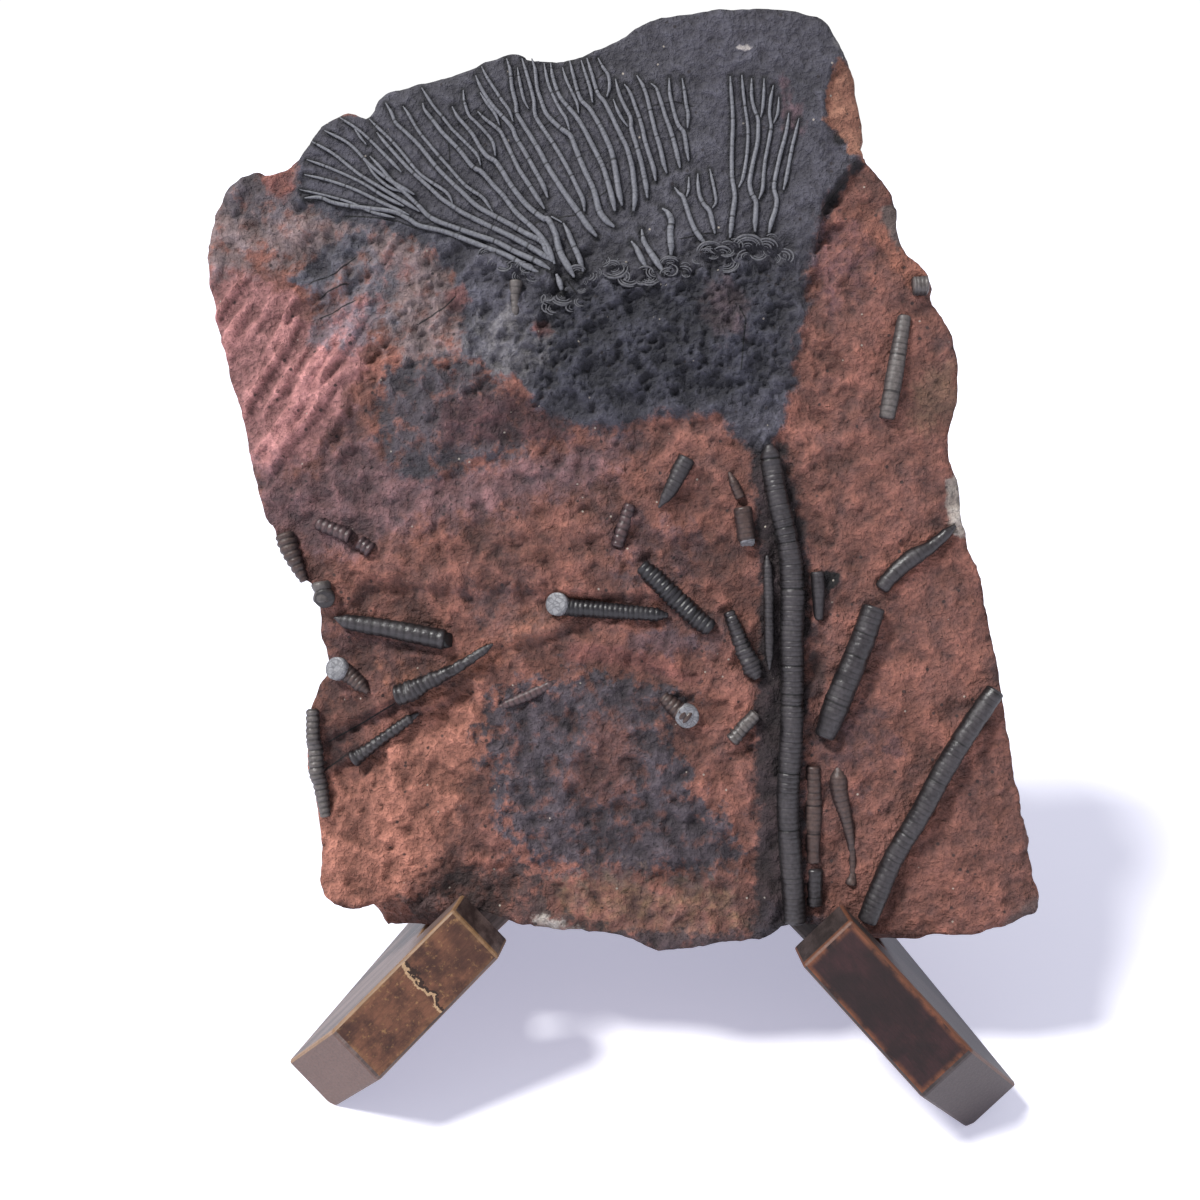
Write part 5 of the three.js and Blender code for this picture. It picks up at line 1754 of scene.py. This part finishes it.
@dataclass
class Crown:
    """The fan of arms and the curled plates at their roots."""
    face: RockFace
    matrix: Matrix
    sides: int = 8
    step: float = 0.3
    lift: float = 0.12
    joint_pitch: float = 0.85
    break_every: tuple[float, float] = (4.0, 9.0)
    plate_width: float = 0.72

    def lines(self) -> list[Route]:
        """Every branch's line, beside which the rock gets painted shade, partly dirt."""
        return [branch.route() for branches in ARMS.values() for branch in branches]

    def build(self) -> list[bpy.types.Object]:
        """Makes the arms and the plates.

        Returns:
            The finished pieces.
        """
        material = ARM_FINISH.material()
        dice = random.Random(SEED)
        made = []
        for name, branches in ARMS.items():
            bm = bar_bmesh()
            for branch in branches:
                length = sum(math.dist(a, b) for a, b in zip(branch.line, branch.line[1:]))
                breaks, place = [], dice.uniform(*self.break_every)
                while place < length - 1:
                    breaks.append(place)
                    place += dice.uniform(*self.break_every)
                Bar(branch.route(), self.lift, self.sides, self.step, pitch=self.joint_pitch,
                    ring=0.04, crumple=0.08, breaks=tuple(breaks), gape=0.12, ends=BURIED,
                    seed=dice.uniform(0, 50)).grow(bm, self.face)
            nodes = [name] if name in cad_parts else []
            made.append(finish_piece(bm, "crown_" + name, [material], nodes, self.matrix))
        made.append(self.plates(PLATE_FINISH.material(), dice))
        return made

    def plates(self, material: bpy.types.Material, dice: random.Random) -> bpy.types.Object:
        """Makes the curled stacks of small plates round the cup.

        Args:
            material: the plates' material.
            dice: the seeded source of their scatter.

        Returns:
            The finished piece.
        """
        bm = bar_bmesh()
        rim = smooth_line([(u, v, 0) for u, v in PLATE_RIM], 1.5)
        stray = [(u + dice.gauss(0, 1.0), v + dice.gauss(0, 1.3), dice.uniform(0.8, 1.9),
                  dice.uniform(0, 360), dice.randint(2, 4)) for u, v, _ in rim]
        for u, v, reach, opens, count in [*PLATE_STACKS, *stray]:
            for curl in range(count):
                radius = 1.15 * reach * (curl + dice.uniform(0.7, 1.2)) / count
                half = math.radians(dice.uniform(35, 80))
                middle = math.radians(opens + dice.uniform(-10, 10))
                arc = [(u + radius * math.cos(middle + turn),
                        v + 0.75 * radius * math.sin(middle + turn), self.plate_width)
                       for turn in np.linspace(-half, half, 6)]
                Bar(arc, lift=0.35 + 0.08 * curl, sides=6, step=0.25, rise=1.2, pitch=0.6,
                    ring=0.12, crispness=0.5, crumple=0.4, gape=0.12, ends=BURIED,
                    seed=dice.uniform(0, 50)).grow(bm, self.face)
        return finish_piece(bm, "crown_curled_plates", [material], [], self.matrix)


# ------------------------------------------------------------------ stand

@dataclass
class Stand:
    """The two boards, halved into each other, with bevelled arrises."""
    lip_foot: tuple[float, float] = (21.0, 18.0)     # along the board, out to the front, mm
    foot_trim: float = 1.2                           # planed off the sharp corner of the foot
    arris: float = 0.7                               # width of the worn edges, mm
    border: float = 2.6                              # width of the rubbed edge of a lip, mm
    finishes: tuple = (
        WoodFinish("left", -1, ("6b5a55", "332725"), ("6b4533", "3f251d"), "94704a", "573c32",
                   0.6, -5.0, 0.2),
        WoodFinish("right", 1, ("413736", "2a2322"), ("2c1417", "1a0a0d"), "6d4029", "382a2a",
                   0.06, 0.0, 0.85))

    def build(self) -> list[bpy.types.Object]:
        """Makes both boards."""
        return [self.board(finish) for finish in self.finishes]

    def board(self, finish: WoodFinish) -> bpy.types.Object:
        """Makes one board from its node's own solid, with its edges eased.

        Args:
            finish: the board's wood.

        Returns:
            The finished piece.
        """
        node = "stand_board_" + finish.name
        bm = bmesh.new()
        edge = bm.verts.layers.float.new("border")
        marks = [bm.faces.layers.float.new(name) for name in ("lip", "foot", "arris")]
        bm.from_mesh(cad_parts[node].data)
        bmesh.ops.remove_doubles(bm, verts=bm.verts, dist=0.01 * MM)
        bmesh.ops.dissolve_limit(bm, angle_limit=math.radians(1), verts=bm.verts, edges=bm.edges)
        sharp = [e for e in bm.edges if e.is_manifold and e.calc_face_angle() > math.radians(20)]
        bmesh.ops.bevel(bm, geom=sharp, offset=self.arris * MM, offset_type="OFFSET", segments=2,
                        profile=0.5, affect="EDGES", clamp_overlap=True, material=-1)
        bm.normal_update()
        lips = [f for f in bm.faces if f.normal.y < -0.8 and f.normal.z > 0.4
                and f.calc_area() > 100 * MM * MM]
        bmesh.ops.inset_individual(bm, faces=lips, thickness=self.border * MM)
        middle = {v for f in lips for v in f.verts}
        for vert in bm.verts:
            vert[edge] = 0.0 if vert in middle else 1.0
        for face in bm.faces:
            front = face.normal.y < -0.84
            face[marks[0]] = float(front and face.normal.z > 0.4)
            face[marks[1]] = float(front and face.normal.z < 0)
            face[marks[2]] = float(face.calc_area() < 40 * MM * MM and not front)
        bmesh.ops.triangulate(bm, faces=[f for f in bm.faces if len(f.verts) > 4])
        piece = finish_piece(bm, f"stand_board_{finish.name}_wood", [finish.material()],
                             [node], Matrix.Identity(4))
        for polygon in piece.data.polygons:
            polygon.use_smooth = False
        return piece


# ------------------------------------------------------------------ studio

@dataclass
class Studio:
    """Floor, soft light, surroundings and camera."""
    camera_place: tuple = (6.36, -277.82, 207.8)       # mm
    camera_aim: tuple = (-0.0408, 0.9352, -0.3518)
    lens: float = 36.0                                 # mm, on a sensor as wide
    floor_half: float = 40.0                           # m
    key_from: tuple = (-0.62, -0.30, 1.0)              # the way from the slab to the light
    key_spread: float = 12.0                           # degrees
    key_power: float = 4.2
    key_colour: tuple = (1.0, 0.99, 0.97)
    ambient_colour: tuple = (0.93, 0.95, 1.0, 1.0)
    ambient: float = 0.4
    backdrop: float = 1.05                             # what the camera sees past the floor

    def build(self) -> None:
        """Makes the floor, the light, the surroundings and the camera."""
        bm = bmesh.new()
        bmesh.ops.create_grid(bm, x_segments=8, y_segments=8, size=self.floor_half)
        mesh = bpy.data.meshes.new("floor")
        bm.to_mesh(mesh)
        bm.free()
        floor = bpy.data.objects.new("floor", mesh)
        bpy.context.scene.collection.objects.link(floor)
        mesh.materials.append(floor_material())
        self.key_light()
        world = bpy.data.worlds.new("studio")
        bpy.context.scene.world = world
        world.use_nodes = True
        ambient = world.node_tree.nodes["Background"]
        ambient.inputs["Color"].default_value = self.ambient_colour
        ambient.inputs["Strength"].default_value = self.ambient
        seen = add(world.node_tree, "ShaderNodeBackground", {}, {
            "Color": (1.0, 1.0, 1.0, 1.0), "Strength": self.backdrop})
        ray = add(world.node_tree, "ShaderNodeLightPath", {}, {})
        mixed = add(world.node_tree, "ShaderNodeMixShader", {}, {
            0: ray.outputs["Is Camera Ray"], 1: ambient.outputs[0], 2: seen.outputs[0]})
        world.node_tree.links.new(mixed.outputs[0],
                                  world.node_tree.nodes["World Output"].inputs["Surface"])
        view = bpy.context.scene.view_settings
        view.view_transform = "Standard"
        view.look = "None"
        camera = bpy.data.cameras.new("camera")
        camera.sensor_width = camera.lens = self.lens
        camera.clip_start = 0.01
        eye = bpy.data.objects.new("camera", camera)
        eye.location = Vector(self.camera_place) * MM
        eye.rotation_mode = "QUATERNION"
        eye.rotation_quaternion = Vector(self.camera_aim).to_track_quat("-Z", "Y")
        bpy.context.scene.collection.objects.link(eye)
        bpy.context.scene.camera = eye

    def key_light(self) -> None:
        """Adds the one broad soft light, from above and to the left."""
        lamp = bpy.data.lights.new("key", "SUN")
        lamp.angle = math.radians(self.key_spread)
        lamp.energy = self.key_power
        lamp.color = self.key_colour
        item = bpy.data.objects.new("key", lamp)
        item.rotation_mode = "QUATERNION"
        item.rotation_quaternion = (-Vector(self.key_from)).to_track_quat("-Z", "Y")
        bpy.context.scene.collection.objects.link(item)


def main() -> None:
    """Builds every piece and the studio."""
    matrix = slab_matrix()
    slab = RockSlab()
    crown = Crown(slab.face, matrix)
    slab.build(crown.lines(), matrix)
    Stems(slab.face, matrix).build()
    crown.build()
    Stand().build()
    Studio().build()


if __name__ == "__main__":
    logging.basicConfig(level=logging.INFO, format="%(name)s: %(message)s")
    main()
